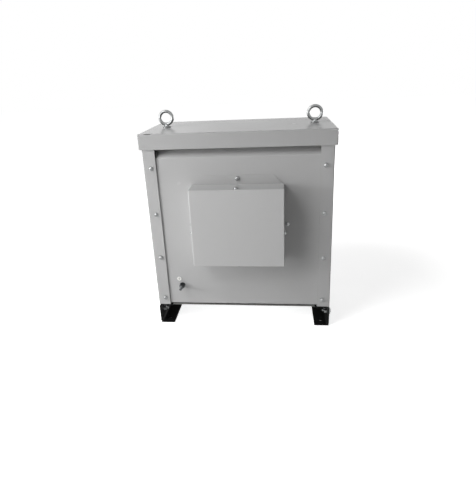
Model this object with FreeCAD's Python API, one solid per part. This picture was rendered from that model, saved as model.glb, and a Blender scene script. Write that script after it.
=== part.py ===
import FreeCAD
import Part
import math
import os

V = FreeCAD.Vector

# The origin is on the floor, midway between the two base rails and midway along them.
# X is to the right of somebody who faces the terminal box, Y is to the back, Z is up.
# All sizes are in millimetres.

# Case
body_width = 550.0
body_depth = 282.0
post_height = 510.0
sheet = 2.0
sheet_bend = 3.5
flange_width = 38.0
bottom_flange_width = 40.0
top_flange_width = 62.0
flange_relief = 1.0

# Roof lid
lid_skirt = 45.0
lid_side_overhang = 7.0
lid_front_overhang = 4.0
lid_bend = 3.0

# Base rails
rail_height = 70.0
rail_width = 46.0
rail_wall = 4.0
rail_bend = 10.0
anchor_hole = 11.0
anchor_setback = 25.0
anchor_inset = 25.0
rail_bolt_setback = 33.0
rail_bolt_grip = 19.0
cross_bar_width = 25.0
cross_bar_thickness = 3.0

# Front and rear panel
panel_sheet = 1.5
panel_bend = 3.0
panel_edge_gap = 3.0
panel_foot_gap = 3.0
panel_return = 15.0
lip_drop = 27.0
lip_lean = 38.0
lip_overlap = 4.0
seal_thickness = 2.0
seal_width = 24.0
seal_inset = 5.0

# Pan-head screws, washers and weld nuts of the panels and the terminal box
screw = 6.0
screw_play = 0.6
panel_screw_length = 16.0
box_screw_length = 13.0
pan_head = 12.0
pan_head_height = 4.4
pan_head_round = 2.4
cross_length = 6.4
cross_width = 1.3
cross_depth = 1.8
washer_width = 13.6
washer_thickness = 1.2
weld_nut_width = 10.0
weld_nut_height = 5.0
panel_screw_inset = 23.5
panel_screw_foot = 24.5
panel_screw_top = 29.0
panel_screw_rows = 4

# Terminal box
cover_width = 270.0
cover_height = 236.0
cover_depth = 60.0
cover_gap = 3.0
cover_bend = 2.5
cover_top_gap = 107.0
cover_fit = 0.5
box_sheet = 1.5
box_bend = 2.5
box_front_gap = 3.0
box_top_flange = 29.0
box_side_flange = 16.0
top_screw_inset = 10.0
side_screw_inset = 5.0
side_screw_lower = 7.0
cover_screw_setback = 12.0
cover_side_screw_lower = 16.0
knockout = 28.0
knockout_groove = 1.2
knockout_web = 0.5
knockout_spread = 120.0
cable_notch_width = 44.0
cable_notch_depth = 42.0
opening_width = 200.0
opening_height = 104.0

# Terminal board, its pillars and studs
board_border = 14.0
board_thickness = 8.0
board_standoff = 15.0
board_round = 6.0
pillar_width = 10.0
pillar_thread = 5.0
pillar_inset = 8.0
pillar_nut_height = 4.0
pillar_thread_end = 2.0
stud = 8.0
stud_front = 30.0
stud_back = 11.0
stud_spread = 150.0
stud_row_gap = 50.0
stud_nut_width = 13.0
stud_nut_height = 6.5
stud_washer_width = 17.0
stud_washer_thickness = 1.6
lug_width = 16.0
lug_thickness = 3.0
lug_reach = 16.0

# Earth stud and its disc
earth_inset = 83.5
earth_height = 140.0
earth_reach = 33.0
earth_nut_gap = 5.0
earth_disc = 14.0
earth_disc_thickness = 0.6
earth_disc_left = 9.0
earth_disc_up = 22.0

# Lifting eyes and the plates that spread their load under the roof
eye_inset = 45.0
eye_ring = 50.0
eye_hole = 30.0
eye_rise = 4.0
eye_collar = 26.0
eye_collar_height = 3.0
eye_neck = 16.0
eye_thread = 12.0
eye_shank = 25.0
eye_nut_width = 18.0
eye_nut_height = 10.0
eye_washer_width = 24.0
eye_washer_thickness = 2.5
lift_plate_width = 60.0
lift_plate_length = 160.0
lift_plate_thickness = 6.0

# Heavy bolts, nuts and washers
heavy_bolt = 10.0
heavy_nut_width = 16.0
heavy_nut_height = 8.0
heavy_head_height = 6.4
heavy_washer_width = 20.0
heavy_washer_thickness = 2.0
bolt_play = 1.0
thread_end = 4.0
tube_wall = 1.5
nut_chamfer_angle = 30.0

# Bottom guard
guard_sheet = 1.5
guard_gap = 2.0
guard_border = 24.0
slot_width = 8.0
slot_length = 36.0
slot_bridge_x = 10.0
slot_bridge_y = 12.0

# Clamps and pads of the core
pad_thickness = 6.0
pad_width = 34.0
clamp_wall = 5.0
clamp_bend = 8.0
clamp_flange = 35.0
clamp_lip = 10.0
clamp_end = 14.0
upper_clamp_end = 24.0
yoke_bolt_gap = 11.0

# Coils: what lies between a limb and the outside of its coil, and the air around the coils
core_top_air = 95.0
coil_side_air = 22.0
coil_front_air = 50.0
coil_gap = 10.0
end_block = 15.0
block_width = 36.0
limb_clear = 2.0
former_wall = 3.0
former_round = 4.0
common_build = 14.0
duct = 8.0
series_build = 13.0
stick_width = 8.0

# Neutral bar and leads
bar_thickness = 3.0
bar_bend = 5.0
bar_height = 20.0
bar_air = 12.0
bar_rise = 18.0
bar_end = 16.0
strap_width = 20.0
strap_drop = 6.0
lead = 7.0
lead_elbow = 21.0
lead_entry = 20.0
lead_bend_share = 0.45
lead_shift = 30.0
series_lead_drop = 28.0
tap_lead_drop = 60.0

# Straight runs shorter than this are left out of an outline
shortest_run = 0.001

# Sizes and places that follow from the ones above
half_width = body_width / 2
half_depth = body_depth / 2
inner_x = half_width - sheet
skirt_edge = rail_height + post_height
roof_top = skirt_edge + lid_skirt
roof_under = roof_top - sheet
panel_face = half_depth - sheet - seal_thickness
panel_back = panel_face - panel_sheet
panel_half_width = inner_x - panel_edge_gap
panel_foot = rail_height + panel_foot_gap
lip_start = skirt_edge - lip_drop
lip_top = skirt_edge + lip_overlap
lip_depth = (lip_top - lip_start) * math.tan(math.radians(lip_lean))
screw_x = half_width - panel_screw_inset
screw_foot = rail_height + panel_screw_foot
screw_pitch = (lip_start - panel_screw_top - screw_foot) / (panel_screw_rows - 1)
screw_rows = [screw_foot + row * screw_pitch for row in range(panel_screw_rows)]
cover_middle = skirt_edge - cover_top_gap - cover_height / 2
cover_rear = panel_face + cover_gap
cover_front = cover_rear + cover_depth
box_half_width = cover_width / 2 - box_sheet - cover_fit
box_half_height = cover_height / 2 - box_sheet - cover_fit
box_front = cover_front - box_front_gap
cover_screw_y = cover_front - cover_screw_setback
board_back = panel_face + board_standoff
board_front = board_back + board_thickness
board_half_width = opening_width / 2 + board_border
board_half_height = opening_height / 2 + board_border
earth_x = -half_width + earth_inset
eye_x = half_width - eye_inset
guard_foot = rail_height + sheet
guard_top = guard_foot + guard_sheet
clamp_foot = guard_top + pad_thickness
coil_pitch = (2 * inner_x - 2 * coil_side_air + coil_gap) / 3
coil_half_width = (coil_pitch - coil_gap) / 2
coil_half_depth = panel_back - coil_front_air
common_start = limb_clear + former_wall
common_end = common_start + common_build
series_start = common_end + duct
series_end = series_start + series_build
limb_width = 2 * (coil_half_width - series_end)
half_stack = coil_half_depth - series_end
yoke_foot = clamp_foot + clamp_lip
window_foot = yoke_foot + limb_width
clamp_top = roof_under - core_top_air
core_top = clamp_top - clamp_lip
window_top = core_top - limb_width
coil_foot = window_foot + end_block
coil_top = window_top - end_block
core_half_width = coil_pitch + limb_width / 2
clamp_half_length = half_width - rail_width / 2 + clamp_end
core_bolt_x = half_width - rail_width / 2
core_bolt_y = half_stack + clamp_wall + (clamp_flange - clamp_wall) / 2
bar_back = coil_half_depth + bar_air
bar_face = bar_back + bar_thickness
bar_foot = coil_foot + bar_rise
phases = {"a": -coil_pitch, "b": 0.0, "c": coil_pitch}


# Helpers for outlines, sheets and bars

def at(plane, u, v, w):
    """A point given by two coordinates in a plane and one across it."""
    if plane == "XY":
        return V(u, v, w)
    if plane == "XZ":
        return V(u, w, v)
    return V(w, u, v)


def block(x0, x1, y0, y1, z0, z1):
    """A plain block between two corners."""
    return Part.makeBox(x1 - x0, y1 - y0, z1 - z0, V(x0, y0, z0))


def corner_arc(before, here, after, radius):
    """Where a rounded corner begins, passes its middle and ends."""
    if radius <= 0:
        return here, here, here
    back = (before - here).normalize()
    onward = (after - here).normalize()
    half = back.getAngle(onward) / 2
    setback = radius / math.tan(half)
    middle = here + (back + onward).normalize() * (radius / math.sin(half) - radius)
    return here + back * setback, middle, here + onward * setback


def rounded_edges(points, radii, closed):
    """Straight runs joined by tangent arcs through a list of points."""
    count = len(points)
    corners = []
    for index, here in enumerate(points):
        ends = not closed and index in (0, count - 1)
        before, after = points[index - 1], points[(index + 1) % count]
        corners.append(corner_arc(before, here, after, 0 if ends else radii[index]))
    edges = []
    for index, (entry, middle, leave) in enumerate(corners):
        if entry.distanceToPoint(leave) > 0:
            edges.append(Part.Arc(entry, middle, leave).toShape())
        onward = corners[(index + 1) % count][0]
        if (closed or index < count - 1) and leave.distanceToPoint(onward) > shortest_run:
            edges.append(Part.LineSegment(leave, onward).toShape())
    return edges


def prism(corners, plane, start, end):
    """A prism across a plane, its outline given as corners (u, v, radius)."""
    points = [at(plane, u, v, start) for u, v, _ in corners]
    edges = rounded_edges(points, [radius for _, _, radius in corners], True)
    return Part.Face(Part.Wire(edges)).extrude(at(plane, 0, 0, end - start))


def sideways(path, distance):
    """An open path of (u, v) points, moved to its left by a distance."""
    lines = []
    for (u0, v0), (u1, v1) in zip(path, path[1:]):
        length = math.hypot(u1 - u0, v1 - v0)
        du, dv = (u1 - u0) / length, (v1 - v0) / length
        lines.append((u0 - dv * distance, v0 + du * distance, du, dv, length))
    moved = [lines[0][:2]]
    for (pu, pv, du, dv, _), (qu, qv, eu, ev, _) in zip(lines, lines[1:]):
        step = ((qu - pu) * ev - (qv - pv) * eu) / (du * ev - dv * eu)
        moved.append((pu + du * step, pv + dv * step))
    pu, pv, du, dv, length = lines[-1]
    moved.append((pu + du * length, pv + dv * length))
    return moved


def folded(path, thickness, bend, plane, start, end):
    """A folded sheet: the path is its outer face, and the sheet lies to the left of it."""
    last = len(path) - 1
    bends = [0 < index < last for index in range(last + 1)]
    outer = [(u, v, bend * b) for (u, v), b in zip(path, bends)]
    inner = [(u, v, (bend - thickness) * b)
             for (u, v), b in zip(sideways(path, thickness), bends)]
    return prism(outer + inner[::-1], plane, start, end)


def tray(width, depth, height, thickness, bend):
    """A folded tray with closed corners, open below, its top face at Z = height."""
    def skin(inset):
        half_w = width / 2 - inset
        half_d = depth / 2 - inset
        body = block(-half_w, half_w, -half_d, half_d, -height, height - inset)
        edges = [edge for edge in body.Edges if edge.CenterOfMass.z > -height / 2]
        return body.makeFillet(bend - inset, edges)
    walls = skin(0).cut(skin(thickness))
    return walls.cut(block(-width, width, -depth, depth, -2 * height, 0))


def rod(diameter, start, end):
    """A round bar between two points."""
    axis = end - start
    return Part.makeCylinder(diameter / 2, axis.Length, start, axis)


def cable(points, diameter):
    """A lead along straight runs joined by arcs as large as the runs allow."""
    radii = [0]
    for before, here, after in zip(points, points[1:], points[2:]):
        turn = math.pi - (before - here).getAngle(after - here)
        shorter = min(before.distanceToPoint(here), after.distanceToPoint(here))
        radii.append(lead_bend_share * shorter / math.tan(turn / 2))
    radii.append(0)
    path = Part.Wire(rounded_edges(points, radii, False))
    section = Part.Wire(Part.makeCircle(diameter / 2, points[0], points[1] - points[0]))
    return path.makePipeShell([section], True, True)


def turned(shape, place, axis):
    """A piece modelled along +Z, set at a place with its +Z along the axis."""
    moved = shape.copy()
    moved.Placement = FreeCAD.Placement(place, FreeCAD.Rotation(V(0, 0, 1), axis))
    return moved


def mirrored_x(shape):
    """The same piece on the other side, left for right."""
    return shape.mirror(V(0, 0, 0), V(1, 0, 0))


def mirrored_y(shape):
    """The same piece on the other side, front for rear."""
    return shape.mirror(V(0, 0, 0), V(0, 1, 0))


# Helpers for fasteners, each made along +Z with its seat on Z = 0

def hexagon(width, height, hole):
    """A hexagon nut or head with its outer corners chamfered."""
    corner = width / math.sqrt(3)
    points = [V(corner * math.cos(k * math.pi / 3), corner * math.sin(k * math.pi / 3), 0)
              for k in range(7)]
    body = Part.Face(Part.makePolygon(points)).extrude(V(0, 0, height))
    chamfer_foot = height - width / 2 * math.tan(math.radians(nut_chamfer_angle))
    profile = [V(0, 0, 0), V(width, 0, 0), V(width, 0, chamfer_foot),
               V(width / 2, 0, height), V(0, 0, height), V(0, 0, 0)]
    body = body.common(Part.Face(Part.makePolygon(profile)).revolve(V(0, 0, 0), V(0, 0, 1), 360))
    if hole > 0:
        body = body.cut(rod(hole, V(0, 0, -height), V(0, 0, 2 * height)))
    return body


def washer(outer, hole, thickness):
    """A flat washer."""
    disc = rod(outer, V(0, 0, 0), V(0, 0, thickness))
    return disc.cut(rod(hole, V(0, 0, -thickness), V(0, 0, 2 * thickness)))


def hex_bolt(diameter, head_width, head_height, length):
    """A hexagon bolt, its head above the seat and its shank below."""
    return hexagon(head_width, head_height, 0).fuse(rod(diameter, V(0, 0, -length), V(0, 0, 0)))


def pan_screw(length):
    """A pan-head screw with a cross recess, its head above the seat and its shank below."""
    head = rod(pan_head, V(0, 0, 0), V(0, 0, pan_head_height))
    rim = [edge for edge in head.Edges if edge.CenterOfMass.z > pan_head_height / 2
           and len(edge.Vertexes) == 1]
    head = head.makeFillet(pan_head_round, rim)
    arm = block(-cross_length / 2, cross_length / 2, -cross_width / 2, cross_width / 2,
                pan_head_height - cross_depth, pan_head_height)
    head = head.cut(arm).cut(arm.rotated(V(0, 0, 0), V(0, 0, 1), 90))
    return head.fuse(rod(screw, V(0, 0, -length), V(0, 0, 0)))


def set_at(piece, places):
    """Copies of one piece at (place, axis) pairs, kept as separate solids."""
    return Part.Compound([turned(piece, place, axis) for place, axis in places])


def beyond(places, distance):
    """The same places, moved along their own axes."""
    return [(place + axis * distance, axis) for place, axis in places]


def drill(shape, diameter, places, depth):
    """Round holes at (place, axis) pairs, reaching a depth to both sides of each place."""
    cutters = [rod(diameter, place - axis * depth, place + axis * depth)
               for place, axis in places]
    return shape.cut(Part.Compound(cutters))


# Places of the fasteners, as (point on the face where the screw head sits, outward axis)

front, rear, up, down = V(0, -1, 0), V(0, 1, 0), V(0, 0, 1), V(0, 0, -1)
left, right = V(-1, 0, 0), V(1, 0, 0)

front_screws = [(V(x, -half_depth, z), front) for x in (-screw_x, screw_x) for z in screw_rows]
rear_screws = [(V(x, half_depth, z), rear) for x in (-screw_x, screw_x) for z in screw_rows]
panel_places = front_screws + rear_screws

box_seat = panel_face + box_sheet
top_screw_z = box_half_height + box_top_flange - top_screw_inset
side_screw_x = box_half_width + box_side_flange - side_screw_inset
flange_places = [(V(0, -box_seat, cover_middle + top_screw_z), front),
                 (V(0, -box_seat, cover_middle - top_screw_z), front),
                 (V(-side_screw_x, -box_seat, cover_middle - side_screw_lower), front),
                 (V(side_screw_x, -box_seat, cover_middle - side_screw_lower), front)]
cover_places = [(V(0, -cover_screw_y, cover_middle + cover_height / 2), up),
                (V(0, -cover_screw_y, cover_middle - cover_height / 2), down),
                (V(-cover_width / 2, -cover_screw_y, cover_middle - cover_side_screw_lower), left),
                (V(cover_width / 2, -cover_screw_y, cover_middle - cover_side_screw_lower), right)]

rail_bolt_y = half_depth - rail_bolt_setback
rail_bolt_z = rail_height / 2
rail_bolt_places = [(V(side.x * half_width, y, rail_bolt_z), side)
                    for side in (left, right) for y in (-rail_bolt_y, rail_bolt_y)]
core_bolt_places = [(V(x, y, clamp_foot + clamp_wall), up)
                    for x in (-core_bolt_x, core_bolt_x) for y in (-core_bolt_y, core_bolt_y)]
anchor_places = [(V(x, y, 0), up)
                 for x in (-half_width + anchor_inset, half_width - anchor_inset)
                 for y in (-half_depth + anchor_setback, half_depth - anchor_setback)]
eye_places = [(V(x, 0, roof_top), up) for x in (-eye_x, eye_x)]

yoke_bolt_levels = (yoke_foot + limb_width / 2, window_top + limb_width / 2)
yoke_hole_x = (-coil_pitch / 2, coil_pitch / 2)
yoke_side_x = (-core_half_width - yoke_bolt_gap, core_half_width + yoke_bolt_gap)
yoke_bolt_places = [(V(x, -half_stack - clamp_wall, z), front)
                    for z in yoke_bolt_levels for x in yoke_hole_x + yoke_side_x]

row_up = cover_middle + stud_row_gap / 2
row_down = cover_middle - stud_row_gap / 2
upper_studs = [-stud_spread / 2, 0.0, stud_spread / 2]
lower_row = [-stud_spread / 2 + step * stud_spread / 3 for step in range(4)]
neutral_stud = lower_row[2]
lower_studs = [x for x in lower_row if x != neutral_stud]
stud_places = [(V(x, -board_front, row_up), front) for x in upper_studs]
stud_places += [(V(x, -board_front, row_down), front) for x in lower_row]
pillar_x = board_half_width - pillar_inset
pillar_z = board_half_height - pillar_inset
pillar_places = [(V(x, -panel_face, cover_middle + z), front)
                 for x in (-pillar_x, pillar_x) for z in (-pillar_z, pillar_z)]
earth_place = [(V(earth_x, -panel_face, earth_height), front)]


# Case

def base_rail():
    """The left base rail, a channel open towards the middle."""
    inner_edge = -half_width + rail_width
    path = [(inner_edge, rail_height), (-half_width, rail_height), (-half_width, 0), (inner_edge, 0)]
    rail = folded(path, rail_wall, rail_bend, "XZ", -half_depth, half_depth)
    rail = drill(rail, anchor_hole, anchor_places, 2 * rail_wall)
    rail = drill(rail, stud + bolt_play, rail_bolt_places, 2 * rail_wall)
    return drill(rail, heavy_bolt + bolt_play, core_bolt_places, rail_height / 2)


def cross_bars():
    """Two flat bars between the rails' upper flanges, one under each panel."""
    reach = half_width - rail_width
    bar = block(-reach, reach, -panel_face, -panel_face + cross_bar_width,
                rail_height - cross_bar_thickness, rail_height)
    return Part.Compound([bar, mirrored_y(bar)])


def side_panel():
    """The left side panel: upright flanges in front and behind, flat ones below and above."""
    edge = -half_width + flange_width
    upright_path = [(edge, half_depth), (-half_width, half_depth),
                    (-half_width, -half_depth), (edge, -half_depth)]
    uprights = folded(upright_path, sheet, sheet_bend, "XY", rail_height, roof_under)
    relief = half_depth - sheet_bend - flange_relief
    uprights = uprights.cut(block(-body_width, -inner_x, -relief, relief, 0, 2 * roof_top))
    level_path = [(-half_width + top_flange_width, roof_under), (-half_width, roof_under),
                  (-half_width, rail_height), (-half_width + bottom_flange_width, rail_height)]
    web = folded(level_path, sheet, sheet_bend, "XZ", -relief, relief)
    panel = uprights.fuse(web).removeSplitter()
    panel = drill(panel, screw + screw_play, panel_places, 2 * sheet)
    panel = drill(panel, heavy_bolt + bolt_play, core_bolt_places, rail_height / 2)
    return drill(panel, eye_thread + bolt_play, eye_places, eye_shank)


def bottom_guard():
    """A slotted sheet that lies on the side panels' lower flanges, under the coils."""
    reach_x = inner_x - guard_gap
    reach_y = panel_face - panel_return - guard_gap
    guard = block(-reach_x, reach_x, -reach_y, reach_y, guard_foot, guard_top)
    span_x = 2 * (half_width - rail_width - guard_border)
    span_y = 2 * (reach_y - guard_border)
    columns = int((span_x + slot_bridge_x) // (slot_width + slot_bridge_x))
    rows = int((span_y + slot_bridge_y) // (slot_length + slot_bridge_y))
    slots = []
    for column in range(columns):
        x = (column - (columns - 1) / 2) * (slot_width + slot_bridge_x)
        for row in range(rows):
            y = (row - (rows - 1) / 2) * (slot_length + slot_bridge_y)
            corners = [(x + sx * slot_width / 2, y + sy * slot_length / 2, slot_width / 2)
                       for sx, sy in ((-1, -1), (1, -1), (1, 1), (-1, 1))]
            slots.append(prism(corners, "XY", guard_foot - guard_sheet, guard_top + guard_sheet))
    guard = guard.cut(Part.Compound(slots))
    return drill(guard, heavy_bolt + bolt_play, core_bolt_places, rail_height / 2)


def plain_panel():
    """The front panel before its openings: top bent back under the lid, foot folded back."""
    path = [(-panel_face + lip_depth, lip_top), (-panel_face, lip_start),
            (-panel_face, panel_foot), (-panel_face + panel_return, panel_foot)]
    panel = folded(path, panel_sheet, panel_bend, "YZ", -panel_half_width, panel_half_width)
    return drill(panel, screw + screw_play, front_screws, 2 * (half_depth - panel_back))


def front_panel():
    """The front panel with the holes for the terminal box, its pillars and the earth stud."""
    half_w, half_h = opening_width / 2, opening_height / 2
    corners = [(sx * half_w, cover_middle + sz * half_h, board_round)
               for sx, sz in ((-1, -1), (1, -1), (1, 1), (-1, 1))]
    panel = plain_panel().cut(prism(corners, "XZ", -half_depth, -panel_back + panel_sheet))
    panel = drill(panel, screw + screw_play, flange_places, 2 * (box_seat - panel_back))
    return drill(panel, stud + bolt_play, earth_place, 2 * panel_sheet)


def panel_seals():
    """Four strips between the side panels' flanges and the front and rear panels."""
    x = half_width - seal_inset - seal_width
    strip = block(-x - seal_width, -x, -panel_face - seal_thickness, -panel_face,
                  panel_foot + panel_bend, lip_start - panel_bend)
    strip = drill(strip, screw + screw_play, front_screws, 2 * (half_depth - panel_face))
    pair = [strip, mirrored_x(strip)]
    return Part.Compound(pair + [mirrored_y(piece) for piece in pair])


def roof_lid():
    """The roof, a shallow tray that hangs over the case, with a hole for each lifting eye."""
    width = body_width + 2 * lid_side_overhang
    depth = body_depth + 2 * lid_front_overhang
    lid = tray(width, depth, lid_skirt, sheet, lid_bend).translated(V(0, 0, skirt_edge))
    return drill(lid, eye_thread + bolt_play, eye_places, 2 * sheet)


def lifting_plates():
    """A plate under the roof on each side, which spreads the pull of the lifting eye."""
    top = roof_under - sheet
    half_w, half_l = lift_plate_width / 2, lift_plate_length / 2
    plate = block(-eye_x - half_w, -eye_x + half_w, -half_l, half_l, top - lift_plate_thickness, top)
    plate = drill(plate, eye_thread + bolt_play, eye_places, eye_shank)
    return Part.Compound([plate, mirrored_x(plate)])


def eye_bolt(x):
    """A lifting eye: a ring that faces the front, on a neck, a collar and a threaded shank."""
    wire = (eye_ring - eye_hole) / 4
    ring = Part.makeTorus(eye_ring / 2 - wire, wire, V(0, 0, eye_rise + eye_ring / 2), front)
    profile = [V(0, 0, -eye_shank), V(eye_thread / 2, 0, -eye_shank), V(eye_thread / 2, 0, 0),
               V(eye_collar / 2, 0, 0), V(eye_collar / 2, 0, eye_collar_height),
               V(eye_neck / 2, 0, eye_rise), V(wire, 0, eye_rise + wire), V(0, 0, eye_rise + wire),
               V(0, 0, -eye_shank)]
    stem = Part.Face(Part.makePolygon(profile)).revolve(V(0, 0, 0), V(0, 0, 1), 360)
    return ring.fuse(stem).translated(V(x, 0, roof_top))


def eye_bolt_nuts():
    """A nut and washer on each lifting eye, under its plate."""
    seat = roof_under - sheet - lift_plate_thickness
    places = [(V(place.x, place.y, seat), down) for place, _ in eye_places]
    flat = washer(eye_washer_width, eye_thread, eye_washer_thickness)
    nut = hexagon(eye_nut_width, eye_nut_height, eye_thread)
    return Part.Compound([set_at(flat, places), set_at(nut, beyond(places, eye_washer_thickness))])


# Terminal box

def box_side(half_span, reach, flange):
    """One wall of the terminal box with its flange on the panel, the flange's ends cut at 45."""
    path = [(-box_front, reach - box_sheet), (-panel_face, reach - box_sheet),
            (-panel_face, reach + flange)]
    wall = folded(path, box_sheet, box_bend, "YZ", -half_span, half_span)
    for side in (-1, 1):
        tip = [(side * half_span, reach, 0), (side * half_span, reach + 2 * flange, 0),
               (side * (half_span - 2 * flange), reach + 2 * flange, 0)]
        wall = wall.cut(prism(tip, "XZ", -box_front, 0))
    return wall


def terminal_box_base():
    """Four walls around the terminals, flanged on the front panel, two knock-outs below."""
    level = box_side(box_half_width, box_half_height, box_top_flange)
    upright = box_side(box_half_height, box_half_width, box_side_flange)
    walls = [level, level.rotated(V(0, 0, 0), V(0, 1, 0), 180),
             upright.rotated(V(0, 0, 0), V(0, 1, 0), 90),
             upright.rotated(V(0, 0, 0), V(0, 1, 0), -90)]
    base = walls[0].fuse(walls[1:]).removeSplitter().translated(V(0, 0, cover_middle))
    floor = cover_middle - box_half_height
    for x in (-knockout_spread / 2, knockout_spread / 2):
        groove = washer(knockout + 2 * knockout_groove, knockout, box_sheet)
        middle = V(x, -(panel_face + box_front) / 2, floor - knockout_web)
        base = base.cut(groove.translated(middle))
    base = drill(base, screw + screw_play, flange_places, 2 * box_sheet)
    return drill(base, screw + screw_play, cover_places, 3 * box_sheet + cover_fit)


def terminal_box_cover():
    """A deep tray over the terminal box, notched below at the knock-outs."""
    cover = tray(cover_width, cover_height, cover_depth, box_sheet, cover_bend)
    cover = cover.rotated(V(0, 0, 0), V(1, 0, 0), 90).translated(V(0, -cover_rear, cover_middle))
    for x in (-knockout_spread / 2, knockout_spread / 2):
        notch = block(x - cable_notch_width / 2, x + cable_notch_width / 2,
                      -cover_rear - cable_notch_depth, 0,
                      cover_middle - cover_height, cover_middle - box_half_height)
        cover = cover.cut(notch)
    return drill(cover, screw + screw_play, cover_places, 2 * box_sheet)


def box_weld_nuts():
    """Weld nuts behind the panel and inside the box's walls."""
    nut = hexagon(weld_nut_width, weld_nut_height, screw)
    behind = [(place + rear * (box_seat - panel_back), rear) for place, _ in flange_places]
    inside = [(place - axis * (2 * box_sheet + cover_fit), axis * -1)
              for place, axis in cover_places]
    return set_at(nut, behind + inside)


def terminal_board():
    """The insulating board that holds the studs."""
    corners = [(sx * board_half_width, cover_middle + sz * board_half_height, board_round)
               for sx, sz in ((-1, -1), (1, -1), (1, 1), (-1, 1))]
    board = prism(corners, "XZ", -board_front, -board_back)
    board = drill(board, stud, stud_places, 2 * board_thickness)
    return drill(board, pillar_thread, pillar_places, board_standoff + 2 * board_thickness)


def terminal_pillars():
    """Hexagon pillars on the front panel, each with a threaded end that holds the board."""
    thread = board_standoff + board_thickness + pillar_nut_height + pillar_thread_end
    pillar = hexagon(pillar_width, board_standoff, 0)
    pillar = pillar.fuse(rod(pillar_thread, V(0, 0, 0), V(0, 0, thread)))
    return set_at(pillar, pillar_places)


def terminal_studs():
    """The seven threaded studs."""
    return set_at(rod(stud, V(0, 0, -board_thickness - stud_back), V(0, 0, stud_front)), stud_places)


def terminal_nuts():
    """On each stud a nut behind its lug, and a washer and two nuts in front of the board."""
    nut = hexagon(stud_nut_width, stud_nut_height, stud)
    flat = washer(stud_washer_width, stud, stud_washer_thickness)
    second = 2 * stud_washer_thickness + stud_nut_height
    behind = [(place + rear * (board_thickness + lug_thickness), rear) for place, _ in stud_places]
    small = hexagon(pillar_width, pillar_nut_height, pillar_thread)
    return Part.Compound([set_at(flat, stud_places),
                          set_at(nut, beyond(stud_places, stud_washer_thickness)),
                          set_at(flat, beyond(stud_places, second - stud_washer_thickness)),
                          set_at(nut, beyond(stud_places, second)),
                          set_at(nut, behind),
                          set_at(small, beyond(pillar_places, board_standoff + board_thickness))])


# Earthing

def earth_stud():
    """A bolt through the panel, its head inside and its threaded end in front."""
    place = [(V(earth_x, -panel_back, earth_height), rear)]
    return set_at(hex_bolt(stud, stud_nut_width, stud_nut_height, earth_reach + panel_sheet), place)


def earth_nuts():
    """Washer and nut that fix the stud, and a washer and nut for the earth lead."""
    nut = hexagon(stud_nut_width, stud_nut_height, stud)
    flat = washer(stud_washer_width, stud, stud_washer_thickness)
    second = stud_washer_thickness + stud_nut_height
    return Part.Compound([set_at(flat, earth_place),
                          set_at(nut, beyond(earth_place, stud_washer_thickness)),
                          set_at(flat, beyond(earth_place, second)),
                          set_at(nut, beyond(earth_place, second + stud_washer_thickness))])


def earth_label():
    """The round disc beside the earth stud."""
    centre = V(earth_x - earth_disc_left, -panel_face, earth_height + earth_disc_up)
    return rod(earth_disc, centre, centre + front * earth_disc_thickness)


# Core

def core_clamp(foot, half_length):
    """A front clamp of the core, a channel with its web against the yoke."""
    edge, face, top = -half_stack - clamp_flange, -half_stack, foot + limb_width + clamp_lip
    path = [(edge, foot), (face, foot), (face, top), (edge, top)]
    clamp = folded(path, clamp_wall, clamp_bend, "YZ", -half_length, half_length)
    clamp = drill(clamp, heavy_bolt + bolt_play, yoke_bolt_places, 2 * clamp_wall)
    return drill(clamp, heavy_bolt + bolt_play, core_bolt_places, 2 * clamp_wall)


def core_limb(x):
    """One upright stack of core plates."""
    return block(x - limb_width / 2, x + limb_width / 2, -half_stack, half_stack,
                 window_foot, window_top)


def core_yoke(foot):
    """One level stack of core plates, with two holes for insulated bolts."""
    yoke = block(-core_half_width, core_half_width, -half_stack, half_stack,
                 foot, foot + limb_width)
    holes = [(V(x, 0, foot + limb_width / 2), front) for x in yoke_hole_x]
    return drill(yoke, heavy_bolt + 2 * tube_wall, holes, 2 * half_stack)


def yoke_bolt_tubes():
    """An insulating tube around each bolt that passes through a yoke."""
    tube = washer(heavy_bolt + 2 * tube_wall, heavy_bolt, 2 * half_stack)
    return set_at(tube, [(V(x, half_stack, z), front) for z in yoke_bolt_levels for x in yoke_hole_x])


def heavy_nuts_below():
    """Where the nuts of the core bolts seat, under the rails' upper flanges."""
    seat = rail_height - rail_wall
    return [(V(place.x, place.y, seat), down) for place, _ in core_bolt_places]


def heavy_nuts_behind():
    """Where the nuts of the yoke bolts seat, on the rear clamps."""
    return [(V(place.x, -place.y, place.z), rear) for place, _ in yoke_bolt_places]


def core_bolts():
    """Four bolts through clamp, pad, guard, side panel and rail."""
    grip = clamp_foot + clamp_wall - (rail_height - rail_wall)
    length = grip + heavy_washer_thickness + heavy_nut_height + thread_end
    bolt = hex_bolt(heavy_bolt, heavy_nut_width, heavy_head_height, length + heavy_washer_thickness)
    return set_at(bolt, beyond(core_bolt_places, heavy_washer_thickness))


def yoke_bolts():
    """Eight bolts that squeeze the yokes between their clamps."""
    length = 2 * (half_stack + clamp_wall + heavy_washer_thickness) + heavy_nut_height + thread_end
    bolt = hex_bolt(heavy_bolt, heavy_nut_width, heavy_head_height, length)
    return set_at(bolt, beyond(yoke_bolt_places, heavy_washer_thickness))


def core_nuts():
    """The nuts of the core bolts and of the yoke bolts."""
    nut = hexagon(heavy_nut_width, heavy_nut_height, heavy_bolt)
    return set_at(nut, beyond(heavy_nuts_below() + heavy_nuts_behind(), heavy_washer_thickness))


def core_washers():
    """A washer under each head and each nut of those bolts."""
    flat = washer(heavy_washer_width, heavy_bolt, heavy_washer_thickness)
    return set_at(flat, core_bolt_places + yoke_bolt_places + heavy_nuts_below() + heavy_nuts_behind())


def vibration_pads():
    """Rubber pads between the lower clamps and the bottom guard."""
    half = pad_width / 2
    pads = [block(place.x - half, place.x + half, place.y - half, place.y + half,
                  guard_top, clamp_foot) for place, _ in core_bolt_places]
    return drill(Part.Compound(pads), heavy_bolt + bolt_play, core_bolt_places, rail_height)


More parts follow.
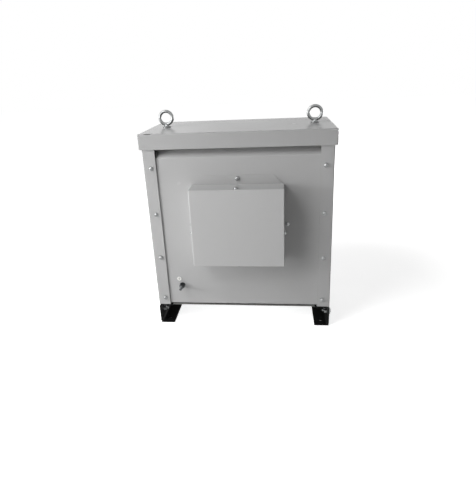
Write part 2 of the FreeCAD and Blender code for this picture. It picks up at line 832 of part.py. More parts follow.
# Coils, each part a rounded rectangular tube around its limb

def coil_ring(x, start, end):
    """A tube around a limb, between two distances from the limb's faces."""
    solids = []
    for reach in (start, end):
        radius = former_round + reach - limb_clear
        corners = [(x + sx * (limb_width / 2 + reach), sy * (half_stack + reach), radius)
                   for sx, sy in ((-1, -1), (1, -1), (1, 1), (-1, 1))]
        solids.append(prism(corners, "XY", coil_foot, coil_top))
    return solids[1].cut(solids[0])


def duct_sticks():
    """Upright sticks that keep the cooling duct open between the two windings of each coil."""
    sticks = []
    half = stick_width / 2
    for x in phases.values():
        inner_w, outer_w = limb_width / 2 + common_end, limb_width / 2 + series_start
        inner_d, outer_d = half_stack + common_end, half_stack + series_start
        for side in (-1, 1):
            for offset in (-limb_width / 4, limb_width / 4):
                y0, y1 = sorted((side * inner_d, side * outer_d))
                sticks.append(block(x + offset - half, x + offset + half, y0, y1, coil_foot, coil_top))
            for offset in (-half_stack / 2, half_stack / 2):
                x0, x1 = sorted((x + side * inner_w, x + side * outer_w))
                sticks.append(block(x0, x1, offset - half, offset + half, coil_foot, coil_top))
    return Part.Compound(sticks)


def coil_blocks(foot, top):
    """Insulating blocks between the yokes and clamps and the ends of the coils."""
    end_x = coil_pitch + coil_half_width - block_width / 2
    return Part.Compound([block(x - block_width / 2, x + block_width / 2,
                                -coil_half_depth, coil_half_depth, foot, top)
                          for x in (-end_x,) + yoke_hole_x + (end_x,)])


def neutral_bar():
    """A flat bar in front of the coils, joined by a bent strap to each common winding."""
    reach = coil_pitch + bar_end
    bar = block(-reach, reach, -bar_face, -bar_back, bar_foot, bar_foot + bar_height)
    inner = -half_stack - (common_start + common_end) / 2 + bar_thickness / 2
    low = coil_foot - strap_drop - bar_thickness
    path = [(-bar_face, bar_foot + bar_height), (-bar_face, low), (inner, low), (inner, coil_foot)]
    straps = [folded(path, bar_thickness, bar_bend, "YZ", x - strap_width / 2, x + strap_width / 2)
              for x in phases.values()]
    return bar.fuse(straps).removeSplitter()


def stud_lead(stud_x, stud_z, lug_side, points):
    """A lead with its lug behind the board; the points are its route from the panel on."""
    lug_z = stud_z + lug_side * lug_reach
    back = -board_back + lug_thickness
    half = lug_width / 2
    low, high = sorted((stud_z - lug_side * half, lug_z + lug_side * half))
    corners = [(stud_x - half, low, half), (stud_x + half, low, half),
               (stud_x + half, high, half), (stud_x - half, high, half)]
    lug = drill(prism(corners, "XZ", -board_back, back), stud,
                [(V(stud_x, back, stud_z), front)], 2 * lug_thickness)
    start = V(stud_x, back, lug_z)
    elbow = V(stud_x, back + lead_elbow, lug_z)
    return lug.fuse(cable([start, elbow] + points, lead))


def coil_lead(stud_x, stud_z, lug_side, x, z):
    """A lead from a stud to the front face of a coil."""
    entry = V(x, -coil_half_depth - lead_entry, z)
    return stud_lead(stud_x, stud_z, lug_side, [entry, V(x, -coil_half_depth, z)])


def input_leads():
    """The leads from the ends of the series windings to the upper row of studs."""
    shifts = (lead_shift, lead_shift, -lead_shift)
    return Part.Compound([coil_lead(stud_x, row_up, 1, x + shift, coil_top - series_lead_drop)
                          for stud_x, x, shift in zip(upper_studs, phases.values(), shifts)])


def output_leads():
    """The leads from the taps to the lower row of studs."""
    shifts = (lead_shift, -lead_shift, -lead_shift)
    return Part.Compound([coil_lead(stud_x, row_down, -1, x + shift, cover_middle - tap_lead_drop)
                          for stud_x, x, shift in zip(lower_studs, phases.values(), shifts)])


def neutral_lead():
    """The lead from the neutral bar to its stud."""
    z = bar_foot + bar_height / 2
    route = [V(neutral_stud, -bar_face - lead_entry, z), V(neutral_stud, -bar_face, z)]
    return stud_lead(neutral_stud, row_down, -1, route)


# All pieces by name

def rail_fasteners():
    """The bolts, nuts and washers through the webs of the rails."""
    inside = [(place - axis * rail_wall, axis * -1) for place, axis in rail_bolt_places]
    flat = washer(stud_washer_width, stud, stud_washer_thickness)
    bolt = hex_bolt(stud, stud_nut_width, stud_nut_height, rail_bolt_grip + stud_washer_thickness)
    nut = hexagon(stud_nut_width, stud_nut_height, stud)
    return {"rail_bolts": set_at(bolt, beyond(rail_bolt_places, stud_washer_thickness)),
            "rail_bolt_washers": set_at(flat, rail_bolt_places + inside),
            "rail_bolt_nuts": set_at(nut, beyond(inside, stud_washer_thickness))}


def case_pieces():
    """The rails, panels, roof and their fasteners."""
    rail, panel = base_rail(), side_panel()
    panel_nuts = [(place - axis * (half_depth - panel_back), axis * -1)
                  for place, axis in panel_places]
    return {"base_rail_left": rail,
            "base_rail_right": mirrored_x(rail),
            "base_cross_bars": cross_bars(),
            "side_panel_left": panel,
            "side_panel_right": mirrored_x(panel),
            "bottom_guard": bottom_guard(),
            "front_panel": front_panel(),
            "rear_panel": mirrored_y(plain_panel()),
            "panel_seals": panel_seals(),
            "panel_washers": set_at(washer(washer_width, screw, washer_thickness), panel_places),
            "panel_screws": set_at(pan_screw(panel_screw_length),
                                   beyond(panel_places, washer_thickness)),
            "panel_weld_nuts": set_at(hexagon(weld_nut_width, weld_nut_height, screw), panel_nuts),
            "roof_lid": roof_lid(),
            "lifting_plates": lifting_plates(),
            "eye_bolt_left": eye_bolt(-eye_x),
            "eye_bolt_right": eye_bolt(eye_x),
            "eye_bolt_nuts": eye_bolt_nuts()}


def terminal_pieces():
    """The terminal box with what is in it, and the earthing."""
    places = flange_places + cover_places
    return {"terminal_box_base": terminal_box_base(),
            "terminal_box_cover": terminal_box_cover(),
            "box_washers": set_at(washer(washer_width, screw, washer_thickness), places),
            "box_screws": set_at(pan_screw(box_screw_length), beyond(places, washer_thickness)),
            "box_weld_nuts": box_weld_nuts(),
            "terminal_board": terminal_board(),
            "terminal_pillars": terminal_pillars(),
            "terminal_studs": terminal_studs(),
            "terminal_nuts": terminal_nuts(),
            "earth_stud": earth_stud(),
            "earth_nuts": earth_nuts(),
            "earth_label": earth_label()}


def core_pieces():
    """The core with its clamps, bolts and pads."""
    lower = core_clamp(clamp_foot, clamp_half_length)
    upper = core_clamp(window_top, core_half_width + upper_clamp_end)
    pieces = {"core_clamp_lower_front": lower,
              "core_clamp_lower_rear": mirrored_y(lower),
              "core_clamp_upper_front": upper,
              "core_clamp_upper_rear": mirrored_y(upper),
              "core_yoke_lower": core_yoke(yoke_foot),
              "core_yoke_upper": core_yoke(window_top),
              "core_bolts": core_bolts(),
              "yoke_bolts": yoke_bolts(),
              "yoke_bolt_tubes": yoke_bolt_tubes(),
              "core_nuts": core_nuts(),
              "core_washers": core_washers(),
              "vibration_pads": vibration_pads()}
    for name, x in phases.items():
        pieces["core_limb_" + name] = core_limb(x)
    return pieces


def coil_pieces():
    """The coils, their supports and their connections."""
    pieces = {"coil_formers": Part.Compound([coil_ring(x, limb_clear, common_start)
                                             for x in phases.values()]),
              "duct_sticks": duct_sticks(),
              "coil_blocks_lower": coil_blocks(window_foot, coil_foot),
              "coil_blocks_upper": coil_blocks(coil_top, window_top),
              "neutral_bar": neutral_bar(),
              "input_leads": input_leads(),
              "output_leads": output_leads(),
              "neutral_lead": neutral_lead()}
    for name, x in phases.items():
        pieces["common_winding_" + name] = coil_ring(x, common_start, common_end)
        pieces["series_winding_" + name] = coil_ring(x, series_start, series_end)
    return pieces


def main():
    """Write every piece to its own file and print its size."""
    os.makedirs("parts", exist_ok=True)
    pieces = {}
    for group in (case_pieces(), rail_fasteners(), terminal_pieces(), core_pieces(), coil_pieces()):
        pieces.update(group)
    for name, shape in pieces.items():
        shape.exportStep("parts/" + name + ".step")
        box = shape.BoundBox
        print(name, len(shape.Solids), "solids", round(shape.Volume / 1000, 2), "cm3",
              "X", round(box.XMin, 1), round(box.XMax, 1), "Y", round(box.YMin, 1),
              round(box.YMax, 1), "Z", round(box.ZMin, 1), round(box.ZMax, 1))
    print(len(pieces), "pieces")


main()
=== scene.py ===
# %% [markdown]
# # A dry autotransformer in its sheet-steel case
# The object is a floor-standing transformer for a switch room: a folded steel case with a roof lid,
# two lifting eyes, a terminal box on its front and two black rails to stand on. The CAD model gives
# every shape and place. This lesson gives each surface its finish, makes the small hardware that
# repeats, and lights and frames the result as a photographer would.
#
# The first cell loads the model as a fixed frame. Its size is kept, so that the last cell can show
# that dressing the model hasn't made it any larger.

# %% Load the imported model
import math

import bpy
from mathutils import Matrix, Vector


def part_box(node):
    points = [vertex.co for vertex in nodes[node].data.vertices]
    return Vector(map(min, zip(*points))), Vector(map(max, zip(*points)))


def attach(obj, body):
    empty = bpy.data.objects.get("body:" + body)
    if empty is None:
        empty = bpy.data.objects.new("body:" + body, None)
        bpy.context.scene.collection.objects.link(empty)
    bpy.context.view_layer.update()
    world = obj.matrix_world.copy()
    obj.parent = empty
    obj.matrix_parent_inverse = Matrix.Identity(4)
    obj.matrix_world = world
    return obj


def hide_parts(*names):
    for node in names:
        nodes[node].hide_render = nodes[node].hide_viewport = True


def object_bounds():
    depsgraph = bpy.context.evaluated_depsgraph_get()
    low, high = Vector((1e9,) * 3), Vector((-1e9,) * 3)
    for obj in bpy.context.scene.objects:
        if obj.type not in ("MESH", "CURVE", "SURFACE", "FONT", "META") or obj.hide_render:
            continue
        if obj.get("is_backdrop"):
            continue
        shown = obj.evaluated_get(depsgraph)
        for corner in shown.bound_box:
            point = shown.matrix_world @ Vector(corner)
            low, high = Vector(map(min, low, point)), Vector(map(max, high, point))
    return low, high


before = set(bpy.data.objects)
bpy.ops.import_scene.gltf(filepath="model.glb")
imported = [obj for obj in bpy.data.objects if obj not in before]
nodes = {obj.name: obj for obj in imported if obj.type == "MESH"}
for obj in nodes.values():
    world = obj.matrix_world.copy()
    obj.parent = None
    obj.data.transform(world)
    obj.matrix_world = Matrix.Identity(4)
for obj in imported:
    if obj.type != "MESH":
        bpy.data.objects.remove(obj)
cad_low, cad_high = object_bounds()
print("nodes:", len(nodes), " size in mm:", [round(1000 * c) for c in cad_high - cad_low])

# %% [markdown]
# ## The camera
# The camera stands in front of the case, a little to the right of its middle and higher than the
# roof, and looks down. A wide lens close by is what makes the case narrow towards the floor. The
# numbers come from matching corners of the case with the same corners in the picture. The picture
# was cropped, so its middle isn't where the lens pointed, and a small shift makes up for that.

# %% Place the camera
PICTURE_WIDTH, PICTURE_HEIGHT = 476, 480
FOCAL_PIXELS = 413.0
LENS_POINT = (231.3, 215.0)
PLACE = (0.1186, -1.2952, 0.7857)
TURN, TILT, ROLL = math.radians(6.94), math.radians(19.30), math.radians(2.79)

ahead = Vector((-math.sin(TURN) * math.cos(TILT), math.cos(TURN) * math.cos(TILT), -math.sin(TILT)))
level_right = Vector((math.cos(TURN), math.sin(TURN), 0))
level_down = ahead.cross(level_right)
picture_right = level_right * math.cos(ROLL) + level_down * math.sin(ROLL)
picture_up = level_right * math.sin(ROLL) - level_down * math.cos(ROLL)

lens = bpy.data.cameras.new("studio_camera")
lens.sensor_width = 36
lens.lens = FOCAL_PIXELS * lens.sensor_width / PICTURE_HEIGHT
lens.shift_x = (PICTURE_WIDTH / 2 - LENS_POINT[0]) / PICTURE_HEIGHT
lens.shift_y = (LENS_POINT[1] - PICTURE_HEIGHT / 2) / PICTURE_HEIGHT
camera = bpy.data.objects.new("studio_camera", lens)
turn = Matrix((picture_right, picture_up, -ahead)).transposed()
camera.matrix_world = Matrix.Translation(PLACE) @ turn.to_4x4()
bpy.context.scene.collection.objects.link(camera)
bpy.context.scene.camera = camera
print("lens", round(lens.lens, 1), "mm, shift", round(lens.shift_x, 3), round(lens.shift_y, 3))

# %% [markdown]
# ## Helpers for colours, nodes and materials
# Paint charts give colours as sRGB codes, as a screen shows them, while a shader adds light up and
# needs linear values. One function turns the first into the second. Another adds a node to any
# tree with its settings, and takes a plain value or another node for each input. The last two open
# and close a material. Its patterns follow Object coordinates, which are metres on the model, so
# the scale of a pattern is one over the real size of its features.

# %% Colour and node helpers
def linear(code):
    """The linear colour for an sRGB code such as '#B0B0AE'."""
    channels = [int(code[i:i + 2], 16) / 255 for i in (1, 3, 5)]
    curve = [c / 12.92 if c <= 0.04045 else ((c + 0.055) / 1.055) ** 2.4 for c in channels]
    return (*curve, 1)


def add(tree, kind, inputs=None, **settings):
    """A new node. Its inputs, by name or by place, take a value, an output, a node or a list."""
    node = tree.nodes.new(kind)
    for name, value in settings.items():
        setattr(node, name, value)
    for key, value in (inputs or {}).items():
        for source in value if isinstance(value, list) else [value]:
            if isinstance(source, bpy.types.Node):
                source = source.outputs[0]
            if isinstance(source, bpy.types.NodeSocket):
                tree.links.new(source, node.inputs[key])
            else:
                node.inputs[key].default_value = source
    return node


def new_material(name):
    """An empty material, its tree, and the Object coordinates that its patterns follow."""
    material = bpy.data.materials.new(name)
    material.use_nodes = True
    material.node_tree.nodes.clear()
    place = add(material.node_tree, "ShaderNodeTexCoord").outputs["Object"]
    return material, material.node_tree, place


def finished(material, tree, inputs):
    """Closes a material with one Principled shader."""
    shader = add(tree, "ShaderNodeBsdfPrincipled", inputs)
    add(tree, "ShaderNodeOutputMaterial", {"Surface": shader.outputs["BSDF"]})
    return material


print("mid grey paint is", [round(c, 3) for c in linear("#B0B0AE")])

# %% [markdown]
# ## The studio
# The picture shows the case on plain white. The floor and the surroundings are white for the camera
# and for reflections, which adds no light to the paint, and the floor still takes a soft shadow.
# Under the two rails the sheet is painted shade: grey and without glow, so the anchor holes stay
# dark. The main lamp is as wide as a window and stands to the left, hardly higher than the
# terminal box. It draws the box's shadow on the panel, dark beside the box and fading towards the
# post. A small one near it gives the screws their bright left edges. One high on the same side
# lights the roof and leaves the recess under the lid dark. A weak one behind puts a sheen on the
# left of the roof. The last lights the back, which the picture doesn't show. It is wide and stays
# below the roof's level, so that the roof doesn't mirror it.

# %% Surroundings and floor
def seen_directly(tree):
    """1 for rays from the camera, off a glossy surface or through a clear one, else 0."""
    rays = add(tree, "ShaderNodeLightPath")
    total = add(tree, "ShaderNodeMath", {0: rays.outputs["Is Camera Ray"],
                                         1: rays.outputs["Is Glossy Ray"]}, operation="ADD")
    return add(tree, "ShaderNodeMath", {0: total, 1: rays.outputs["Is Transmission Ray"]},
               operation="ADD", use_clamp=True)


FILL_LEVEL, WHITE = 0.004, 1.0
world = bpy.data.worlds.new("white_studio")
world.use_nodes = True
world.node_tree.nodes.clear()
level = add(world.node_tree, "ShaderNodeMapRange",
            {0: seen_directly(world.node_tree), 3: FILL_LEVEL, 4: WHITE})
sky = add(world.node_tree, "ShaderNodeBackground",
          {"Color": linear("#FFFFFF"), "Strength": level})
add(world.node_tree, "ShaderNodeOutputWorld", {"Surface": sky})
bpy.context.scene.world = world

LIT_RADIUS, LIT_GLOW, FLOOR_REACH = 0.7, 0.78, 9.0
rail_low, rail_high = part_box("base_rail_right")


def floor_paper(name, code, glows):
    """Matt paper. The lamps light it near the case, and its glow rises where they fall short."""
    material, tree, place = new_material(name)
    surface = add(tree, "ShaderNodeBsdfDiffuse", {"Color": linear(code)})
    if glows:
        away = add(tree, "ShaderNodeVectorMath", {0: place}, operation="LENGTH").outputs["Value"]
        white = add(tree, "ShaderNodeMapRange", {0: away, 1: LIT_RADIUS, 2: 2 * LIT_RADIUS,
                                                 3: LIT_GLOW, 4: WHITE})
        shown = add(tree, "ShaderNodeMath", {0: seen_directly(tree), 1: white},
                    operation="MULTIPLY")
        glow = add(tree, "ShaderNodeEmission", {"Strength": shown})
        surface = add(tree, "ShaderNodeAddShader", {0: surface, 1: glow})
    add(tree, "ShaderNodeOutputMaterial", {"Surface": surface})
    return material


lines_x = [-FLOOR_REACH, -rail_high.x, -rail_low.x, rail_low.x, rail_high.x, FLOOR_REACH]
lines_y = [-FLOOR_REACH, rail_low.y, rail_high.y, FLOOR_REACH]
wide = len(lines_x)
corners = [(x, y, 0) for y in lines_y for x in lines_x]
cells = [(column, row) for row in range(len(lines_y) - 1) for column in range(wide - 1)]
sheet = bpy.data.meshes.new("floor")
sheet.from_pydata(corners, [], [(row * wide + column, row * wide + column + 1,
                                 (row + 1) * wide + column + 1, (row + 1) * wide + column)
                                for column, row in cells])
# The second sheet, under the rails, is grey and doesn't glow. It is painted shade, which keeps the
# anchor holes dark.
for material in (floor_paper("white_paper_floor", "#F2F2F2", True),
                 floor_paper("painted_shade_under_the_rails", "#8A8A88", False)):
    sheet.materials.append(material)
under_rail = [int(row == 1 and column in (1, 3)) for column, row in cells]
sheet.polygons.foreach_set("material_index", under_rail)
floor = bpy.data.objects.new("floor", sheet)
bpy.context.scene.collection.objects.link(floor)
floor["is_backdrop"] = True
print("floor", [round(c) for c in floor.dimensions], "m")

# %% Lamps
AIM = Vector((0, -0.1, 0.36))
LAMPS = {"wide_left": {"at": (-2.2, -1.2, 0.7), "size": (2.0, 2.0), "watts": 37},
         "small_left": {"at": (-2.4, -1.0, 0.8), "size": (0.5, 0.5), "watts": 17},
         "high_left": {"at": (-1.5, -1.3, 2.2), "size": (1.4, 1.4), "watts": 36},
         "roof_sheen": {"at": (-1.0, 2.2, 1.6), "size": (1.4, 1.4), "watts": 2.0},
         "low_behind": {"at": (1.6, 2.1, 0.33), "size": (1.5, 0.5), "watts": 30}}
for name, lamp in LAMPS.items():
    light = bpy.data.lights.new(name, "AREA")
    light.shape, light.energy = "ELLIPSE", lamp["watts"]
    light.size, light.size_y = lamp["size"]
    lamp_object = bpy.data.objects.new(name, light)
    towards = (AIM - Vector(lamp["at"])).to_track_quat("-Z", "Y")
    lamp_object.matrix_world = Matrix.Translation(lamp["at"]) @ towards.to_matrix().to_4x4()
    bpy.context.scene.collection.objects.link(lamp_object)
bpy.context.scene.view_settings.view_transform = "Standard"
print("lamps:", {name: lamp["watts"] for name, lamp in LAMPS.items()})

# %% [markdown]
# ## Satin grey powder coat
# Cases like this are sprayed with plastic powder and baked. The powder flows out while it melts but
# never quite levels, which leaves shallow dimples a few millimetres apart, called orange peel. They
# soften every reflection without changing the colour. In the picture they are finer than a pixel,
# so they are drawn about twice as wide as they are. Broad, faint patches stand for dust and
# handling. The box's cover is coated a shade paler. The lid is dusty and reflects
# less, and where it was knocked at its front edge, the dark sheet shows in a short scrape.

# %% Grey powder coat
ORANGE_PEEL, PEEL_DEPTH = 0.006, 0.0004
DUST_PATCH = 0.25


def powder_coat(name, code, reflection, damage=None):
    """Baked satin paint: even colour, soft sheen, shallow dimples, and damage where it has any."""
    material, tree, place = new_material(name)
    dust = add(tree, "ShaderNodeTexNoise",
               {"Vector": place, "Scale": 1 / DUST_PATCH, "Detail": 4.0})
    tone = add(tree, "ShaderNodeMapRange", {0: dust, 1: 0.3, 2: 0.7, 3: 0.985, 4: 1.012})
    colour = add(tree, "ShaderNodeMix", {0: 1.0, 6: linear(code), 7: tone},
                 data_type="RGBA", blend_type="MULTIPLY").outputs[2]
    peel = add(tree, "ShaderNodeTexNoise",
               {"Vector": place, "Scale": 1 / ORANGE_PEEL, "Detail": 2.0})
    sheen = add(tree, "ShaderNodeMapRange", {0: dust, 1: 0.3, 2: 0.7, 3: 0.2, 4: 0.28})
    dimples = add(tree, "ShaderNodeBump",
                  {"Height": peel, "Strength": 0.25, "Distance": PEEL_DEPTH})
    if damage:
        colour = damage(tree, place, colour)
    return finished(material, tree, {"Base Color": colour, "Roughness": sheen, "Normal": dimples,
                                     "Specular IOR Level": reflection})


grey_coat = powder_coat("satin_grey_powder_coat", "#B6B6B6", 0.4)
cover_coat = powder_coat("pale_grey_powder_coat", "#C1C1C1", 0.4)
print("grey coat dimples", ORANGE_PEEL * 1000, "mm apart")

# %% Grey powder coat of the lid, with its scrape
SCRAPE_MIDDLE, SCRAPE_HALF = (-0.2527, -0.1380, 0.6248), (0.0145, 0.0090, 0.0026)
RAGGED_STEP, RAGGED_REACH = 1 / 260, (0.004, 0.0012, 0.0012)


def scrape(tree, place, colour):
    """The coat's colour, with bare dark sheet inside a long oval that has a ragged edge."""
    ragged = add(tree, "ShaderNodeTexNoise",
                 {"Vector": place, "Scale": 1 / RAGGED_STEP, "Detail": 3.0})
    home = tuple(-reach / 2 - middle for reach, middle in zip(RAGGED_REACH, SCRAPE_MIDDLE))
    shaken = add(tree, "ShaderNodeVectorMath",
                 {0: ragged.outputs["Color"], 1: RAGGED_REACH, 2: home}, operation="MULTIPLY_ADD")
    offset = add(tree, "ShaderNodeVectorMath", {0: place, 1: shaken}, operation="ADD")
    shrink = tuple(1 / half for half in SCRAPE_HALF)
    share = add(tree, "ShaderNodeVectorMath", {0: offset, 1: shrink}, operation="MULTIPLY")
    away = add(tree, "ShaderNodeVectorMath", {0: share}, operation="LENGTH").outputs["Value"]
    bare = add(tree, "ShaderNodeMapRange", {0: away, 1: 0.8, 2: 1.1, 3: 1.0, 4: 0.0})
    return add(tree, "ShaderNodeMix", {0: bare, 6: colour, 7: linear("#4A4A48")},
               data_type="RGBA").outputs[2]


lid_coat = powder_coat("scraped_grey_powder_coat", "#B6B6B6", 0.2, scrape)
print("scrape", 2000 * SCRAPE_HALF[0], "mm long")

# %% [markdown]
# ## Black enamel, zinc, copper and the rest
# The rails are brushed with black enamel, so dark that only its highlights show, and the brush left
# marks 4 mm wide and ten times as long. The two bars that tie the rails have a mottled mid-grey
# enamel. Bright zinc plate on the screws is a mirror worn soft by polishing marks, and its
# passivation leaves faint cloudy patches. On the earth stud the zinc is a darker grey. The forged
# lifting eyes carry the same zinc over a rougher skin.
#
# Inside, galvanised sheet shows broad soft patches of zinc, turned brass and rolled copper are warm
# and smooth, and the windings have the deep red-brown of varnished enamelled wire.

# %% Black enamel
BRUSH_MARKS_PER_METRE, MOTTLE_GRAIN = (240.0, 24.0, 240.0), 1 / 90
material, tree, place = new_material("brushed_black_enamel")
along_brush = add(tree, "ShaderNodeMapping", {"Vector": place, "Scale": BRUSH_MARKS_PER_METRE})
strokes = add(tree, "ShaderNodeTexNoise", {"Vector": along_brush, "Scale": 1.0, "Detail": 5.0})
shade = add(tree, "ShaderNodeMix", {0: strokes, 6: linear("#040404"), 7: linear("#0A0A0B")},
            data_type="RGBA")
gloss = add(tree, "ShaderNodeMapRange", {0: strokes, 1: 0.3, 2: 0.7, 3: 0.55, 4: 0.7})
relief = add(tree, "ShaderNodeBump", {"Height": strokes, "Strength": 0.3, "Distance": 0.0004})
black_enamel = finished(material, tree, {"Base Color": shade.outputs[2], "Roughness": gloss,
                                         "Normal": relief, "Specular IOR Level": 0.12})

material, tree, place = new_material("mottled_grey_bar_enamel")
mottle = add(tree, "ShaderNodeTexNoise", {"Vector": place, "Scale": 1 / MOTTLE_GRAIN, "Detail": 4.0})
shade = add(tree, "ShaderNodeMix", {0: mottle, 6: linear("#666664"), 7: linear("#7C7C7A")},
            data_type="RGBA")
grey_bar_enamel = finished(material, tree, {"Base Color": shade.outputs[2], "Roughness": 0.6})
print("black enamel", linear("#040404")[:3])


# %% Metals
def metal(name, dark, light, patch, rough_low, rough_high, grain, relief_height):
    """A metal with cloudy patches of tone and polish and a fine grain, both sized in metres."""
    material, tree, place = new_material(name)
    clouds = add(tree, "ShaderNodeTexNoise", {"Vector": place, "Scale": 1 / patch, "Detail": 4.0})
    skin = add(tree, "ShaderNodeTexNoise", {"Vector": place, "Scale": 1 / grain, "Detail": 3.0})
    tone = add(tree, "ShaderNodeMix", {0: clouds, 6: linear(dark), 7: linear(light)},
               data_type="RGBA")
    polish = add(tree, "ShaderNodeMapRange",
                 {0: clouds, 1: 0.35, 2: 0.65, 3: rough_low, 4: rough_high})
    relief = add(tree, "ShaderNodeBump",
                 {"Height": skin, "Strength": 0.5, "Distance": relief_height})
    return finished(material, tree, {"Base Color": tone.outputs[2], "Metallic": 1.0,
                                     "Roughness": polish, "Normal": relief})


bright_zinc = metal("bright_zinc_plate", "#7E8082", "#A6A7A6", 0.004, 0.28, 0.38, 0.0008, 0.00004)
dark_grey_zinc = metal("dark_grey_zinc_plate", "#3E4042", "#5A5B5C", 0.004, 0.34, 0.46, 0.0008, 0.00004)
forged_zinc = metal("zinc_plated_forging", "#7A7C7E", "#A2A3A2", 0.009, 0.26, 0.36, 0.0016, 0.0001)
galvanised = metal("galvanised_sheet", "#8F9294", "#B4B6B6", 0.012, 0.34, 0.5, 0.002, 0.00005)
machined_brass = metal("machined_brass", "#B08A45", "#D0AC66", 0.006, 0.2, 0.34, 0.0008, 0.00003)
rolled_copper = metal("bare_rolled_copper", "#A8623F", "#CC8560", 0.02, 0.26, 0.42, 0.001, 0.00003)
wire_enamel = metal("varnished_enamelled_wire", "#6E2F16", "#93482A", 0.03, 0.24, 0.36, 0.002,
                    0.00006)
print("metals:", [m.name for m in (bright_zinc, forged_zinc, galvanised, machined_brass)])

# %% Core plates
# Thousands of plates under half a millimetre thick, stacked front to back, whose cut edges show as
# fine grey lines. Drawn as coarse as 2.5 mm, so that the lines can be seen at all. A wave texture
# counts its coordinate twenty times, and one plate is half a wave.
PLATE_PITCH, WAVE_COUNT = 0.0025, 20
material, tree, place = new_material("varnished_core_plates")
layers = add(tree, "ShaderNodeTexWave", {
    "Vector": place, "Scale": math.pi / PLATE_PITCH / WAVE_COUNT, "Distortion": 0.6, "Detail": 2.0},
    bands_direction="Y")
edge = layers.outputs[1]
shade = add(tree, "ShaderNodeMix", {0: edge, 6: linear("#4A4F55"), 7: linear("#7C8186")},
            data_type="RGBA")
relief = add(tree, "ShaderNodeBump", {"Height": edge, "Strength": 0.6, "Distance": 0.0003})
core_plates = finished(material, tree, {"Base Color": shade.outputs[2], "Metallic": 0.85,
                                        "Roughness": 0.45, "Normal": relief})
print("core plates drawn", PLATE_PITCH * 1000, "mm apart")


# %% Boards, rubber and sleeves
def solid(name, dark, light, stretch, rough_low, rough_high, relief_height):
    """An opaque non-metal with fibres or grain stretched along one axis, in metres a feature."""
    material, tree, place = new_material(name)
    per_metre = tuple(1 / length for length in stretch)
    along = add(tree, "ShaderNodeMapping", {"Vector": place, "Scale": per_metre})
    grain = add(tree, "ShaderNodeTexNoise", {"Vector": along, "Scale": 1.0, "Detail": 5.0})
    tone = add(tree, "ShaderNodeMix", {0: grain, 6: linear(dark), 7: linear(light)},
               data_type="RGBA")
    rough = add(tree, "ShaderNodeMapRange",
                {0: grain, 1: 0.35, 2: 0.65, 3: rough_low, 4: rough_high})
    relief = add(tree, "ShaderNodeBump",
                 {"Height": grain, "Strength": 0.5, "Distance": relief_height})
    return finished(material, tree, {"Base Color": tone.outputs[2], "Roughness": rough,
                                     "Normal": relief})


# Pressboard is rolled from wood pulp: tan and matt, with fibres that lie upwards.
pressboard = solid("calendered_pressboard", "#A5855C", "#C4A67C", (0.004, 0.004, 0.02), 0.6, 0.75,
                   0.0002)
# Paper soaked in resin and pressed hot: dark brown, layered, with a soft gloss.
phenolic = solid("phenolic_paper_board", "#3E1E12", "#5B3020", (0.012, 0.002, 0.002), 0.3, 0.45,
                 0.0001)
# Foamed rubber has open pores over a millimetre wide, which swallow the light.
cell_rubber = solid("cellular_rubber", "#121212", "#232323", (0.0015,) * 3, 0.75, 0.9, 0.0004)
# The leads' sleeves come out of a round die: even, near black, and slightly waxy.
lead_sleeve = solid("extruded_lead_sleeve", "#101010", "#1C1C1C", (0.01,) * 3, 0.4, 0.55, 0.0001)
print("boards and rubber ready")

# %% [markdown]
# ## The earth mark
# A small white disc sits beside the earth stud. Standards give the sign that belongs there: an
# upright stroke over three level ones, each shorter than the last. Four boxes drawn with distances
# in the material are enough for that, and no piece of geometry has to float on the disc. The disc
# itself is printed film, nearly white and only half glossy.

# %% Printed disc
disc_low, disc_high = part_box("earth_label")
disc_middle = (disc_low + disc_high) / 2
PRINT_GRAIN = 1 / 900
# Each stroke's middle, across and up from the disc's own, and half its size, in metres.
MARKS = (((0.0, 0.0022), (0.0004, 0.0020)), ((0.0, 0.0002), (0.0034, 0.0004)),
         ((0.0, -0.0014), (0.0022, 0.0004)), ((0.0, -0.0030), (0.0010, 0.0004)))
material, tree, place = new_material("printed_white_disc")
local = add(tree, "ShaderNodeVectorMath", {0: place, 1: disc_middle}, operation="SUBTRACT")
axes = add(tree, "ShaderNodeSeparateXYZ", {0: local})
ink = 0.0
for (u, v), (half_u, half_v) in MARKS:
    inside = []
    for axis, middle, half in (("X", u, half_u), ("Z", v, half_v)):
        away = add(tree, "ShaderNodeMath", {0: axes.outputs[axis], 1: middle}, operation="SUBTRACT")
        far = add(tree, "ShaderNodeMath", {0: away}, operation="ABSOLUTE")
        inside.append(add(tree, "ShaderNodeMath", {0: far, 1: half}, operation="LESS_THAN"))
    stroke = add(tree, "ShaderNodeMath", {0: inside[0], 1: inside[1]}, operation="MULTIPLY")
    ink = add(tree, "ShaderNodeMath", {0: ink, 1: stroke}, operation="MAXIMUM")
speckle = add(tree, "ShaderNodeTexNoise", {"Vector": place, "Scale": 1 / PRINT_GRAIN})
ground = add(tree, "ShaderNodeMix", {0: speckle, 6: linear("#E4E4E0"), 7: linear("#F4F4F0")},
             data_type="RGBA")
print_tone = add(tree, "ShaderNodeMix", {0: ink, 6: ground.outputs[2], 7: linear("#2A2A2A")},
                 data_type="RGBA")
printed_disc = finished(material, tree, {"Base Color": print_tone.outputs[2], "Roughness": 0.5})
print("disc at", [round(1000 * c) for c in disc_middle])

# %% [markdown]
# ## Finishes on the CAD's own pieces
# Each sheet, rail, nut and board of the model already has its true shape. It only needs its finish,
# which is put in place of the plain one that it was loaded with.

